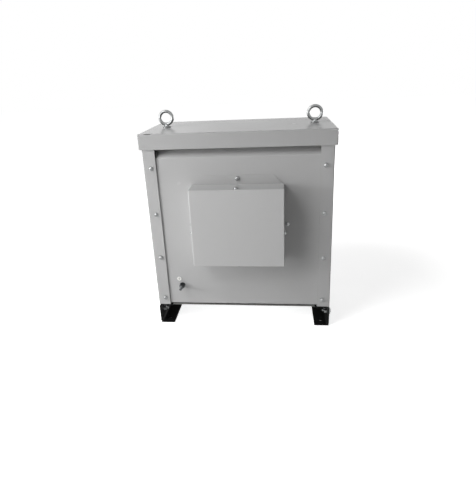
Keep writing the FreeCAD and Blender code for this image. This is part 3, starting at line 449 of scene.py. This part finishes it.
# %% Dress the model's pieces
FINISHES = {
    grey_coat: ("side_panel_left", "side_panel_right", "front_panel", "rear_panel",
                "terminal_box_base"),
    cover_coat: ("terminal_box_cover",),
    lid_coat: ("roof_lid",),
    black_enamel: ("base_rail_left", "base_rail_right"),
    grey_bar_enamel: ("base_cross_bars",),
    bright_zinc: ("panel_washers", "panel_screws", "panel_weld_nuts", "eye_bolt_nuts", "rail_bolts",
                  "rail_bolt_washers", "rail_bolt_nuts", "box_washers", "box_screws",
                  "box_weld_nuts", "terminal_pillars", "terminal_nuts", "core_bolts", "yoke_bolts",
                  "core_nuts", "core_washers"),
    dark_grey_zinc: ("earth_stud", "earth_nuts"),
    forged_zinc: ("eye_bolt_left", "eye_bolt_right"),
    galvanised: ("bottom_guard", "lifting_plates", "core_clamp_lower_front",
                 "core_clamp_lower_rear", "core_clamp_upper_front", "core_clamp_upper_rear"),
    machined_brass: ("terminal_studs",),
    rolled_copper: ("neutral_bar",),
    wire_enamel: tuple(n for n in nodes if n.startswith(("common_winding", "series_winding"))),
    core_plates: tuple(n for n in nodes if n.startswith(("core_limb", "core_yoke"))),
    pressboard: ("coil_formers", "duct_sticks", "coil_blocks_lower", "coil_blocks_upper",
                 "yoke_bolt_tubes"),
    phenolic: ("terminal_board",),
    cell_rubber: ("panel_seals", "vibration_pads"),
    lead_sleeve: ("input_leads", "output_leads", "neutral_lead"),
    printed_disc: ("earth_label",),
}
for finish, names in FINISHES.items():
    for name in names:
        nodes[name].data.materials.clear()
        nodes[name].data.materials.append(finish)
print("dressed", sum(len(names) for names in FINISHES.values()), "of", len(nodes), "nodes")

# %% [markdown]
# ## Hardware that repeats: node trees
# Screws, bolts and wire turns repeat by the dozen, and each kind follows a rule with a few sizes.
# Geometry Nodes suit that: one tree holds the rule, its named inputs hold the sizes, and a mesh of
# loose points says where each one goes and which way it faces. The result is then kept as a plain
# mesh, so that nothing is left to evaluate later.

# %% Helpers for node trees
TRUE_CORNER = math.radians(38)


def new_tree(name, sizes):
    """An empty geometry tree with an input for the places, each named size and the finish."""
    tree = bpy.data.node_groups.new(name, "GeometryNodeTree")
    tree.interface.new_socket("Places", in_out="INPUT", socket_type="NodeSocketGeometry")
    for label, value in sizes.items():
        kind = "NodeSocketInt" if isinstance(value, int) else "NodeSocketFloat"
        tree.interface.new_socket(label, in_out="INPUT", socket_type=kind).default_value = value
    tree.interface.new_socket("Finish", in_out="INPUT", socket_type="NodeSocketMaterial")
    tree.interface.new_socket("Result", in_out="OUTPUT", socket_type="NodeSocketGeometry")
    return tree, add(tree, "NodeGroupInput").outputs


def end_tree(tree, start, geometry):
    """Makes copies real, rounds the shading except at true corners, and sets the finish."""
    real = add(tree, "GeometryNodeRealizeInstances", {0: geometry})
    smooth = add(tree, "GeometryNodeSetShadeSmooth", {0: real})
    angle = add(tree, "GeometryNodeInputMeshEdgeAngle")
    corner = add(tree, "FunctionNodeCompare", {0: angle, 1: TRUE_CORNER},
                 data_type="FLOAT", operation="GREATER_THAN")
    creased = add(tree, "GeometryNodeSetShadeSmooth", {0: smooth, 1: corner, 2: False},
                  domain="EDGE")
    painted = add(tree, "GeometryNodeSetMaterial", {0: creased, "Material": start["Finish"]})
    add(tree, "NodeGroupOutput", {0: painted})


def copies_at_places(tree, start, form, spin=0.0):
    """One copy of a form at each point, its own +Z along the point's outward direction."""
    outward = add(tree, "GeometryNodeInputNamedAttribute", {"Name": "outward"},
                  data_type="FLOAT_VECTOR")
    facing = add(tree, "FunctionNodeAlignRotationToVector", {"Vector": outward}, axis="Z")
    own_turn = add(tree, "FunctionNodeAxisAngleToRotation", {"Axis": (0, 0, 1), "Angle": spin})
    turned = add(tree, "FunctionNodeRotateRotation", {0: facing, 1: own_turn},
                 rotation_space="LOCAL")
    return add(tree, "GeometryNodeInstanceOnPoints", {"Points": start["Places"], "Instance": form,
                                                      "Rotation": turned})


def points_at(name, places):
    """A mesh of loose points that each know their outward direction."""
    mesh = bpy.data.meshes.new(name)
    mesh.from_pydata([point for point, _ in places], [], [])
    outward = mesh.attributes.new("outward", "FLOAT_VECTOR", "POINT")
    outward.data.foreach_set("vector", [c for _, axis in places for c in axis])
    return mesh


def grown(name, mesh, tree, sizes, finish, stands_for=()):
    """Runs a tree on a mesh, keeps the result as a plain mesh, and adds it to the object."""
    piece = bpy.data.objects.new(name, mesh)
    modifier = piece.modifiers.new(name, "NODES")
    modifier.node_group = tree
    values = {**sizes, "Finish": finish}
    for socket in tree.interface.items_tree:
        if socket.name in values:
            modifier[socket.identifier] = values[socket.name]
    bpy.context.scene.collection.objects.link(piece)
    graph = bpy.context.evaluated_depsgraph_get()
    result = bpy.data.meshes.new_from_object(piece.evaluated_get(graph), depsgraph=graph)
    piece.modifiers.remove(modifier)
    piece.data = result
    return added(piece, stands_for)


def added(piece, stands_for=()):
    """Makes a finished piece part of the object, in place of the nodes it stands for."""
    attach(piece, "root")
    if stands_for:
        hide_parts(*stands_for)
    print(piece.name, len(piece.data.polygons), "faces")
    return piece


print("tree helpers ready")

# %% [markdown]
# ## Pan-head screws
# Twenty-four zinc-plated screws with a cross recess hold the panels and the terminal box. A lathe
# profile would give the head, but the recess needs cutting anyway. So the tree starts from a disc
# of rings, lifts each ring to a dome with sloping flanks, and cuts two crossed slots out of it. No
# fitter lines the crosses up, so each screw is turned by its own angle, drawn with a fixed seed.
# One fault is open: where the slots cross, the recess isn't closed over a square of 1.9 mm.

# %% The screw tree
SCREW = {"Head width": 0.012, "Head height": 0.0044, "Recess length": 0.0066,
         "Recess width": 0.0019, "Recess depth": 0.002, "Shank width": 0.006,
         "Shank length": 0.016, "Turn seed": 11}
DOME_POWER, RIM_SHARE = 1.6, 0.12
screw_tree, start = new_tree("pan_head_screws", SCREW)
radius = add(screw_tree, "ShaderNodeMath", {0: start["Head width"], 1: 0.5}, operation="MULTIPLY")
disc = add(screw_tree, "GeometryNodeMeshCylinder",
           {"Vertices": 28, "Side Segments": 1, "Fill Segments": 6, "Radius": radius,
            "Depth": 0.001})
level_place = add(screw_tree, "ShaderNodeVectorMath",
                  {0: add(screw_tree, "GeometryNodeInputPosition"), 1: (1, 1, 0)},
                  operation="MULTIPLY")
from_middle = add(screw_tree, "ShaderNodeVectorMath", {0: level_place}, operation="LENGTH")
share = add(screw_tree, "ShaderNodeMath", {0: from_middle.outputs["Value"], 1: radius},
            operation="DIVIDE")
fallen = add(screw_tree, "ShaderNodeMath", {0: share, 1: DOME_POWER}, operation="POWER")
left_over = add(screw_tree, "ShaderNodeMath", {0: 1.0, 1: fallen}, operation="SUBTRACT",
                use_clamp=True)
dome = add(screw_tree, "ShaderNodeMath", {0: left_over, 1: 1 / DOME_POWER}, operation="POWER")
rise = add(screw_tree, "ShaderNodeMapRange", {0: dome, 3: RIM_SHARE, 4: 1.0})
height = add(screw_tree, "ShaderNodeMath", {0: rise, 1: start["Head height"]},
             operation="MULTIPLY")
above = add(screw_tree, "ShaderNodeMath", {0: height, 1: disc.outputs["Top"]},
            operation="MULTIPLY")
lift = add(screw_tree, "ShaderNodeCombineXYZ", {"Z": above})
lifted = add(screw_tree, "ShaderNodeVectorMath", {0: level_place, 1: lift}, operation="ADD")
head = add(screw_tree, "GeometryNodeSetPosition", {0: disc.outputs["Mesh"], "Position": lifted})
slots = []
deep = add(screw_tree, "ShaderNodeMath", {0: start["Recess depth"], 1: 2.0}, operation="MULTIPLY")
top = add(screw_tree, "ShaderNodeCombineXYZ", {2: start["Head height"]})
for x_size, y_size in (("Recess length", "Recess width"), ("Recess width", "Recess length")):
    size = add(screw_tree, "ShaderNodeCombineXYZ", {0: start[x_size], 1: start[y_size], 2: deep})
    bar = add(screw_tree, "GeometryNodeMeshCube", {"Size": size})
    slots.append(add(screw_tree, "GeometryNodeTransform", {0: bar, "Translation": top}))
crossed = add(screw_tree, "GeometryNodeMeshBoolean", {"Mesh 1": head, "Mesh 2": slots},
              operation="DIFFERENCE")
half_shank = add(screw_tree, "ShaderNodeMath", {0: start["Shank width"], 1: 0.5},
                 operation="MULTIPLY")
shank = add(screw_tree, "GeometryNodeMeshCylinder", {"Vertices": 16, "Radius": half_shank,
                                                     "Depth": start["Shank length"]})
sunk = add(screw_tree, "ShaderNodeMath", {0: start["Shank length"], 1: -0.5}, operation="MULTIPLY")
below = add(screw_tree, "ShaderNodeCombineXYZ", {2: sunk})
set_shank = add(screw_tree, "GeometryNodeTransform", {0: shank, "Translation": below})
whole = add(screw_tree, "GeometryNodeJoinGeometry", {0: [crossed, set_shank]})
any_turn = add(screw_tree, "FunctionNodeRandomValue",
               {2: 0.0, 3: math.pi, "Seed": start["Turn seed"]}, data_type="FLOAT")
end_tree(screw_tree, start, copies_at_places(screw_tree, start, whole, any_turn.outputs[1]))
print("screw tree with", len(screw_tree.nodes), "nodes")

# %% Screws of the panels
WASHER = 0.0012
FRONT, BACK, UP, DOWN = (0, -1, 0), (0, 1, 0), (0, 0, 1), (0, 0, -1)
LEFT, RIGHT = (-1, 0, 0), (1, 0, 0)
# A row of screws runs up the middle of each post.
POST_MIDDLE, LOWEST_SCREW, HIGHEST_SCREW, ROWS = 0.2515, 0.0945, 0.524, 4
washers_low, washers_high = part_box("panel_washers")
row_step = (HIGHEST_SCREW - LOWEST_SCREW) / (ROWS - 1)
panel_places = [((side * POST_MIDDLE, seat, LOWEST_SCREW + row * row_step), facing)
                for seat, facing in ((washers_low.y, FRONT), (washers_high.y, BACK))
                for side in (-1, 1) for row in range(ROWS)]
grown("panel_pan_head_screws", points_at("panel_screw_places", panel_places), screw_tree, SCREW,
      bright_zinc, ["panel_screws"])

# %% Screws of the terminal box
# Four screws hold the box's flanges and four the cover's sides, set out from the cover's middle.
FLANGE_FACE, COVER_SCREW_Y, SHORT_SHANK = -0.1385, -0.188, 0.013
ABOVE_MIDDLE, BESIDE_MIDDLE = 0.135, 0.144
FLANGE_DROP, COVER_DROP = 0.007, 0.016
cover_low, cover_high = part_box("terminal_box_cover")
middle_z = (cover_low.z + cover_high.z) / 2
flange_seat, side_z = FLANGE_FACE - WASHER, middle_z - COVER_DROP
box_places = [((0, flange_seat, middle_z + side * ABOVE_MIDDLE), FRONT) for side in (-1, 1)]
box_places += [((side * BESIDE_MIDDLE, flange_seat, middle_z - FLANGE_DROP), FRONT)
               for side in (-1, 1)]
box_places += [((0, COVER_SCREW_Y, cover_high.z + WASHER), UP),
               ((0, COVER_SCREW_Y, cover_low.z - WASHER), DOWN),
               ((cover_low.x - WASHER, COVER_SCREW_Y, side_z), LEFT),
               ((cover_high.x + WASHER, COVER_SCREW_Y, side_z), RIGHT)]
grown("box_pan_head_screws", points_at("box_screw_places", box_places), screw_tree,
      {**SCREW, "Shank length": SHORT_SHANK, "Turn seed": 4}, bright_zinc,
      ["box_screws"])

# %% [markdown]
# ## Threads and hexagon bolts
# A thread shows on the earth stud, on the bolts through the rails and on the studs behind the
# cover. One small tree winds a ridge round a core: a helix swept with a four-sided profile, each
# turn just touching the next. The bolt tree uses it as a group and adds a hexagon head, whose
# corners a shallow cone should take off, as on the real forging.
#
# Two faults are open here. The Boolean doesn't trim the heads: the whole cone stays, so they show
# as round discs 35 or 38 mm wide with open edges. Head and cone share their end planes, which is
# the likely reason. And the bolts through the rails, clamps and yokes stand 1.0 or 1.2 mm off the
# model's, because their places are worked out as if a corner lay where the model has a flat.

# %% The thread tree
THREAD = {"Thread width": 0.008, "Thread pitch": 0.00125, "Thread length": 0.03}
thread_tree, start = new_tree("threaded_rod", THREAD)
half_pitch = add(thread_tree, "ShaderNodeMath", {0: start["Thread pitch"], 1: 0.5},
                 operation="MULTIPLY")
crest = add(thread_tree, "ShaderNodeMath", {0: start["Thread width"], 1: 0.5}, operation="MULTIPLY")
ridge_line = add(thread_tree, "ShaderNodeMath", {0: crest, 1: half_pitch}, operation="SUBTRACT")
turns = add(thread_tree, "ShaderNodeMath", {0: start["Thread length"], 1: start["Thread pitch"]},
            operation="DIVIDE")
helix = add(thread_tree, "GeometryNodeCurveSpiral",
            {"Resolution": 16, "Rotations": turns, "Start Radius": ridge_line,
             "End Radius": ridge_line, "Height": start["Thread length"]})
upright = add(thread_tree, "GeometryNodeSetCurveNormal", {0: helix}, mode="Z_UP")
diamond = add(thread_tree, "GeometryNodeCurvePrimitiveCircle",
              {"Resolution": 4, "Radius": half_pitch})
ridge = add(thread_tree, "GeometryNodeCurveToMesh", {0: upright, 1: diamond, "Fill Caps": True})
core = add(thread_tree, "GeometryNodeMeshCylinder", {"Vertices": 20, "Radius": ridge_line,
                                                     "Depth": start["Thread length"]})
half_length = add(thread_tree, "ShaderNodeMath", {0: start["Thread length"], 1: 0.5},
                  operation="MULTIPLY")
middle = add(thread_tree, "ShaderNodeCombineXYZ", {2: half_length})
set_core = add(thread_tree, "GeometryNodeTransform", {0: core, "Translation": middle})
rod_form = add(thread_tree, "GeometryNodeJoinGeometry", {0: [ridge, set_core]})
end_tree(thread_tree, start, copies_at_places(thread_tree, start, rod_form))
print("thread tree with", len(thread_tree.nodes), "nodes")

# %% The bolt tree
BOLT = {"Head width": 0.013, "Head height": 0.0065, "Thread width": 0.008, "Thread pitch": 0.00125,
        "Thread length": 0.0345}
CHAMFER, HEAD_TURN = math.radians(30), math.radians(8)
bolt_tree, start = new_tree("hexagon_bolts", BOLT)
corner = add(bolt_tree, "ShaderNodeMath", {0: start["Head width"], 1: 1 / math.sqrt(3)},
             operation="MULTIPLY")
half_head = add(bolt_tree, "ShaderNodeMath", {0: start["Head height"], 1: 0.5},
                operation="MULTIPLY")
head_middle = add(bolt_tree, "ShaderNodeCombineXYZ", {2: half_head})
six_sides = add(bolt_tree, "GeometryNodeMeshCylinder", {"Vertices": 6, "Radius": corner,
                                                        "Depth": start["Head height"]})
set_six = add(bolt_tree, "GeometryNodeTransform", {0: six_sides, "Translation": head_middle})
flat_ring = add(bolt_tree, "ShaderNodeMath", {0: start["Head width"], 1: 0.5}, operation="MULTIPLY")
wide_ring = add(bolt_tree, "ShaderNodeMath",
                {0: start["Head height"], 1: 1 / math.tan(CHAMFER), 2: flat_ring},
                operation="MULTIPLY_ADD")
cone = add(bolt_tree, "GeometryNodeMeshCone", {"Vertices": 48, "Radius Top": flat_ring,
                                               "Radius Bottom": wide_ring,
                                               "Depth": start["Head height"]})
bolt_head = add(bolt_tree, "GeometryNodeMeshBoolean", {1: [set_six, cone]}, operation="INTERSECT")
one_point = add(bolt_tree, "GeometryNodePoints", {"Count": 1})
aimed = add(bolt_tree, "GeometryNodeStoreNamedAttribute",
            {0: one_point, "Name": "outward", "Value": (0, 0, -1)},
            data_type="FLOAT_VECTOR", domain="POINT")
threaded = add(bolt_tree, "GeometryNodeGroup", {
    "Places": aimed, "Finish": start["Finish"], **{label: start[label] for label in THREAD}},
    node_tree=thread_tree)
bolt = add(bolt_tree, "GeometryNodeJoinGeometry", {0: [bolt_head, threaded]})
end_tree(bolt_tree, start, copies_at_places(bolt_tree, start, bolt, HEAD_TURN))
print("bolt tree with", len(bolt_tree.nodes), "nodes")

# %% Earth stud, rail bolts, core bolts and yoke bolts
def tip_to_tip(width):
    """Half the width of a hexagon over its corners, from its width over the flats."""
    return width / math.sqrt(3)


earth_low, earth_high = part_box("earth_stud")
earth_middle = (earth_low + earth_high) / 2
earth_seat = earth_high.y - BOLT["Head height"]
earth_place = points_at("earth_place", [((earth_middle.x, earth_seat, earth_middle.z), BACK)])
grown("earth_threaded_stud", earth_place, bolt_tree,
      {**BOLT, "Thread length": earth_seat - earth_low.y}, dark_grey_zinc,
      ["earth_stud"])

RAIL_BOLT_LENGTH = 0.0206
rail_low, rail_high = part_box("rail_bolts")
rail_middle = (rail_low + rail_high) / 2
rail_seat = rail_high.x - BOLT["Head height"]
rail_y = rail_high.y - tip_to_tip(BOLT["Head width"])
rail_places = [((side * rail_seat, y, rail_middle.z), (side, 0, 0))
               for side in (-1, 1) for y in (-rail_y, rail_y)]
grown("rail_hexagon_bolts", points_at("rail_bolt_places", rail_places), bolt_tree,
      {**BOLT, "Thread length": RAIL_BOLT_LENGTH}, bright_zinc,
      ["rail_bolts"])

HEAVY = {"Head width": 0.016, "Head height": 0.0064, "Thread width": 0.010, "Thread pitch": 0.0015}
heavy_tip = tip_to_tip(HEAVY["Head width"])
core_low, core_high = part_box("core_bolts")
core_seat = core_high.z - HEAVY["Head height"]
core_x, core_y = core_high.x - heavy_tip, core_high.y - heavy_tip
core_places = [((x, y, core_seat), UP) for x in (-core_x, core_x) for y in (-core_y, core_y)]
grown("core_hexagon_bolts", points_at("core_bolt_places", core_places), bolt_tree,
      {**HEAVY, "Thread length": core_seat - core_low.z}, bright_zinc,
      ["core_bolts"])

yoke_low, yoke_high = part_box("yoke_bolts")
yoke_seat = yoke_low.y + HEAVY["Head height"]
outer_x = yoke_high.x - heavy_tip
inner_x = (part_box("series_winding_b")[1].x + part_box("series_winding_c")[0].x) / 2
yoke_places = [((x, yoke_seat, z), FRONT) for x in (-outer_x, -inner_x, inner_x, outer_x)
               for z in (yoke_low.z + heavy_tip, yoke_high.z - heavy_tip)]
grown("yoke_hexagon_bolts", points_at("yoke_bolt_places", yoke_places), bolt_tree,
      {**HEAVY, "Thread length": yoke_high.y - yoke_seat}, bright_zinc,
      ["yoke_bolts"])

# %% Terminal studs
stud_low, stud_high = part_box("terminal_studs")
half_stud = THREAD["Thread width"] / 2
outer_stud = stud_high.x - half_stud
upper_row, lower_row = stud_high.z - half_stud, stud_low.z + half_stud
stud_places = [((x, stud_high.y, upper_row), FRONT) for x in (-outer_stud, 0, outer_stud)]
stud_places += [((x, stud_high.y, lower_row), FRONT)
                for x in (-outer_stud, -outer_stud / 3, outer_stud / 3, outer_stud)]
grown("terminal_threaded_studs", points_at("terminal_stud_places", stud_places), thread_tree,
      {**THREAD, "Thread length": stud_high.y - stud_low.y}, machined_brass,
      ["terminal_studs"])

# %% [markdown]
# ## Lifting eyes
# A lifting eye is struck from one hot bar, so its ring, neck and collar flow into each other.
# Simple forms set together would meet in sharp corners. The tree joins a ring, a disc and two
# cones, turns them into a volume, meshes its skin again and eases that skin, as dies and plating
# ease the real one.

# %% The lifting eye tree
EYE = {"Ring width": 0.050, "Hole width": 0.030, "Ring rise": 0.004, "Collar width": 0.026,
       "Collar height": 0.003, "Neck width": 0.021}
eye_tree, start = new_tree("lifting_eyes", EYE)
half = {label: add(eye_tree, "ShaderNodeMath", {0: start[label], 1: 0.5}, operation="MULTIPLY")
        for label in ("Ring width", "Hole width", "Collar width", "Collar height", "Neck width")}
bar_width = add(eye_tree, "ShaderNodeMath", {0: half["Ring width"], 1: half["Hole width"]},
                operation="SUBTRACT")
bar_radius = add(eye_tree, "ShaderNodeMath", {0: bar_width, 1: 0.5}, operation="MULTIPLY")
centre_line = add(eye_tree, "ShaderNodeMath", {0: half["Hole width"], 1: bar_radius},
                  operation="ADD")
centre_height = add(eye_tree, "ShaderNodeMath", {0: start["Ring rise"], 1: half["Ring width"]},
                    operation="ADD")
circle = add(eye_tree, "GeometryNodeCurvePrimitiveCircle",
             {"Resolution": 72, "Radius": centre_line})
section = add(eye_tree, "GeometryNodeCurvePrimitiveCircle",
              {"Resolution": 28, "Radius": bar_radius})
hoop = add(eye_tree, "GeometryNodeCurveToMesh", {0: circle, 1: section})
ring = add(eye_tree, "GeometryNodeTransform", {
    0: hoop, "Rotation": (math.pi / 2, 0, 0),
    "Translation": add(eye_tree, "ShaderNodeCombineXYZ", {2: centre_height})})
collar = add(eye_tree, "GeometryNodeMeshCylinder", {
    "Vertices": 64, "Radius": half["Collar width"], "Depth": start["Collar height"]})
set_collar = add(eye_tree, "GeometryNodeTransform", {
    0: collar, "Translation": add(eye_tree, "ShaderNodeCombineXYZ", {2: half["Collar height"]})})
neck_height = add(eye_tree, "ShaderNodeMath", {0: start["Ring rise"], 1: bar_radius},
                  operation="ADD")
neck = add(eye_tree, "GeometryNodeMeshCone", {
    "Vertices": 64, "Radius Top": bar_radius, "Radius Bottom": half["Neck width"],
    "Depth": neck_height})
shoulder_height = add(eye_tree, "ShaderNodeMath",
                      {0: start["Ring rise"], 1: start["Collar height"]}, operation="SUBTRACT")
shoulder = add(eye_tree, "GeometryNodeMeshCone", {
    "Vertices": 64, "Radius Top": half["Neck width"], "Radius Bottom": half["Collar width"],
    "Depth": shoulder_height})
set_shoulder = add(eye_tree, "GeometryNodeTransform", {
    0: shoulder,
    "Translation": add(eye_tree, "ShaderNodeCombineXYZ", {2: start["Collar height"]})})
rough_form = add(eye_tree, "GeometryNodeJoinGeometry",
                 {0: [ring, set_collar, neck, set_shoulder]})
volume = add(eye_tree, "GeometryNodeMeshToVolume", {"Mesh": rough_form, "Voxel Size": 0.0005,
                                                    "Interior Band Width": 0.002},
             resolution_mode="VOXEL_SIZE")
skin = add(eye_tree, "GeometryNodeVolumeToMesh", {"Volume": volume, "Voxel Size": 0.0006,
                                                  "Threshold": 0.1}, resolution_mode="VOXEL_SIZE")
eased_place = add(eye_tree, "GeometryNodeBlurAttribute", {
    "Value": add(eye_tree, "GeometryNodeInputPosition"), "Iterations": 6},
    data_type="FLOAT_VECTOR")
eased = add(eye_tree, "GeometryNodeSetPosition", {0: skin, "Position": eased_place})
end_tree(eye_tree, start, copies_at_places(eye_tree, start, eased))

collar_low, collar_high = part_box("eye_bolt_left")
seat_x = (collar_low.x + collar_high.x) / 2
roof_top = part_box("roof_lid")[1].z
eye_places = [((side * seat_x, 0, roof_top), UP) for side in (-1, 1)]
eyes = grown("lifting_eye_forgings", points_at("eye_places", eye_places), eye_tree, EYE,
             forged_zinc, ["eye_bolt_left", "eye_bolt_right"])
shanks = [((side * seat_x, 0, roof_top), DOWN) for side in (-1, 1)]
grown("lifting_eye_threads", points_at("eye_thread_places", shanks), thread_tree,
      {"Thread width": 0.012, "Thread pitch": 0.00175, "Thread length": roof_top - collar_low.z},
      forged_zinc)
print("eyes reach", round(1000 * max(v.co.z for v in eyes.data.vertices), 2), "mm")

# %% [markdown]
# ## Winding turns
# Each phase has two windings, one inside the other, and each of them is three layers of enamelled
# wire laid turn on turn. The model keeps every winding as one solid ring. Here each turn is a loop
# with rounded corners, swept with the wire's own rounded section, and the tree repeats the loops
# upwards until the coil is as tall as the solid. All their sizes follow from the solid that they
# stand for, so the turns fill exactly the room that it had.

# %% The winding tree
LAYERS = 3
WINDING = {"Coil width": 0.16, "Coil depth": 0.17, "Build": 0.013, "Corner round": 0.042,
           "Coil height": 0.237, "Turns": 40}
FILLED_SHARE, CORNER_SHARE = 0.97, 0.3
winding_tree, start = new_tree("winding_turns", WINDING)
pitch = add(winding_tree, "ShaderNodeMath", {0: start["Coil height"], 1: start["Turns"]},
            operation="DIVIDE")
thickness = add(winding_tree, "ShaderNodeMath", {0: start["Build"], 1: LAYERS}, operation="DIVIDE")
wire_width, wire_height = (
    add(winding_tree, "ShaderNodeMath", {0: room, 1: FILLED_SHARE}, operation="MULTIPLY")
    for room in (thickness, pitch))
wire_corner = add(winding_tree, "ShaderNodeMath", {0: thickness, 1: CORNER_SHARE},
                  operation="MULTIPLY")
section = add(winding_tree, "GeometryNodeCurvePrimitiveQuadrilateral",
              {"Width": wire_width, "Height": wire_height})
eased_section = add(winding_tree, "GeometryNodeFilletCurve",
                    {0: section, "Radius": wire_corner, "Count": 1}, mode="POLY")
layers = []
for layer in range(LAYERS):
    inset = add(winding_tree, "ShaderNodeMath", {0: thickness, 1: layer + 0.5},
                operation="MULTIPLY")
    width, depth = (add(winding_tree, "ShaderNodeMath", {0: inset, 1: -2.0, 2: start[label]},
                        operation="MULTIPLY_ADD") for label in ("Coil width", "Coil depth"))
    bend = add(winding_tree, "ShaderNodeMath", {0: start["Corner round"], 1: inset},
               operation="SUBTRACT")
    loop = add(winding_tree, "GeometryNodeCurvePrimitiveQuadrilateral",
               {"Width": width, "Height": depth})
    bent = add(winding_tree, "GeometryNodeFilletCurve", {0: loop, "Radius": bend, "Count": 6},
               mode="POLY")
    level = add(winding_tree, "GeometryNodeSetCurveNormal", {0: bent}, mode="Z_UP")
    layers.append(add(winding_tree, "GeometryNodeCurveToMesh", {0: level, 1: eased_section}))
turn_form = add(winding_tree, "GeometryNodeJoinGeometry", {0: layers})
half_step = add(winding_tree, "ShaderNodeMath", {0: pitch, 1: 0.5}, operation="MULTIPLY")
first_place = add(winding_tree, "ShaderNodeCombineXYZ", {2: half_step})
step = add(winding_tree, "ShaderNodeCombineXYZ", {2: pitch})
stack = add(winding_tree, "GeometryNodeMeshLine", {
    "Count": start["Turns"], "Start Location": first_place, "Offset": step})
coil = add(winding_tree, "GeometryNodeInstanceOnPoints", {"Points": stack, "Instance": turn_form})
end_tree(winding_tree, start, copies_at_places(winding_tree, start, coil))
print("winding tree with", len(winding_tree.nodes), "nodes")

# %% The six windings
BUILDS = {"common_winding": (0.014, 0.021, 36), "series_winding": (0.013, 0.042, 40)}
for kind, (build, round_corner, turn_count) in BUILDS.items():
    for phase in "abc":
        low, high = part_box(kind + "_" + phase)
        seat = ((low.x + high.x) / 2, (low.y + high.y) / 2, low.z)
        sizes = {"Coil width": high.x - low.x, "Coil depth": high.y - low.y, "Build": build,
                 "Corner round": round_corner, "Coil height": high.z - low.z, "Turns": turn_count}
        grown(kind + "_turns_" + phase, points_at("seat_" + kind + phase, [(seat, UP)]),
              winding_tree, sizes, wire_enamel, [kind + "_" + phase])

# %% [markdown]
# ## The last look
# The dressing should leave the model's size as it is. The cell compares the box of the bare model
# with the box of the dressed one and prints how far the dressed one reaches past the bare one.

# %% Finish
bpy.context.view_layer.update()
visual_low, visual_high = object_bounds()
grown_by = (*(cad_low - visual_low), *(visual_high - cad_high))
print("grew by mm:", [round(1000 * c, 2) for c in grown_by])
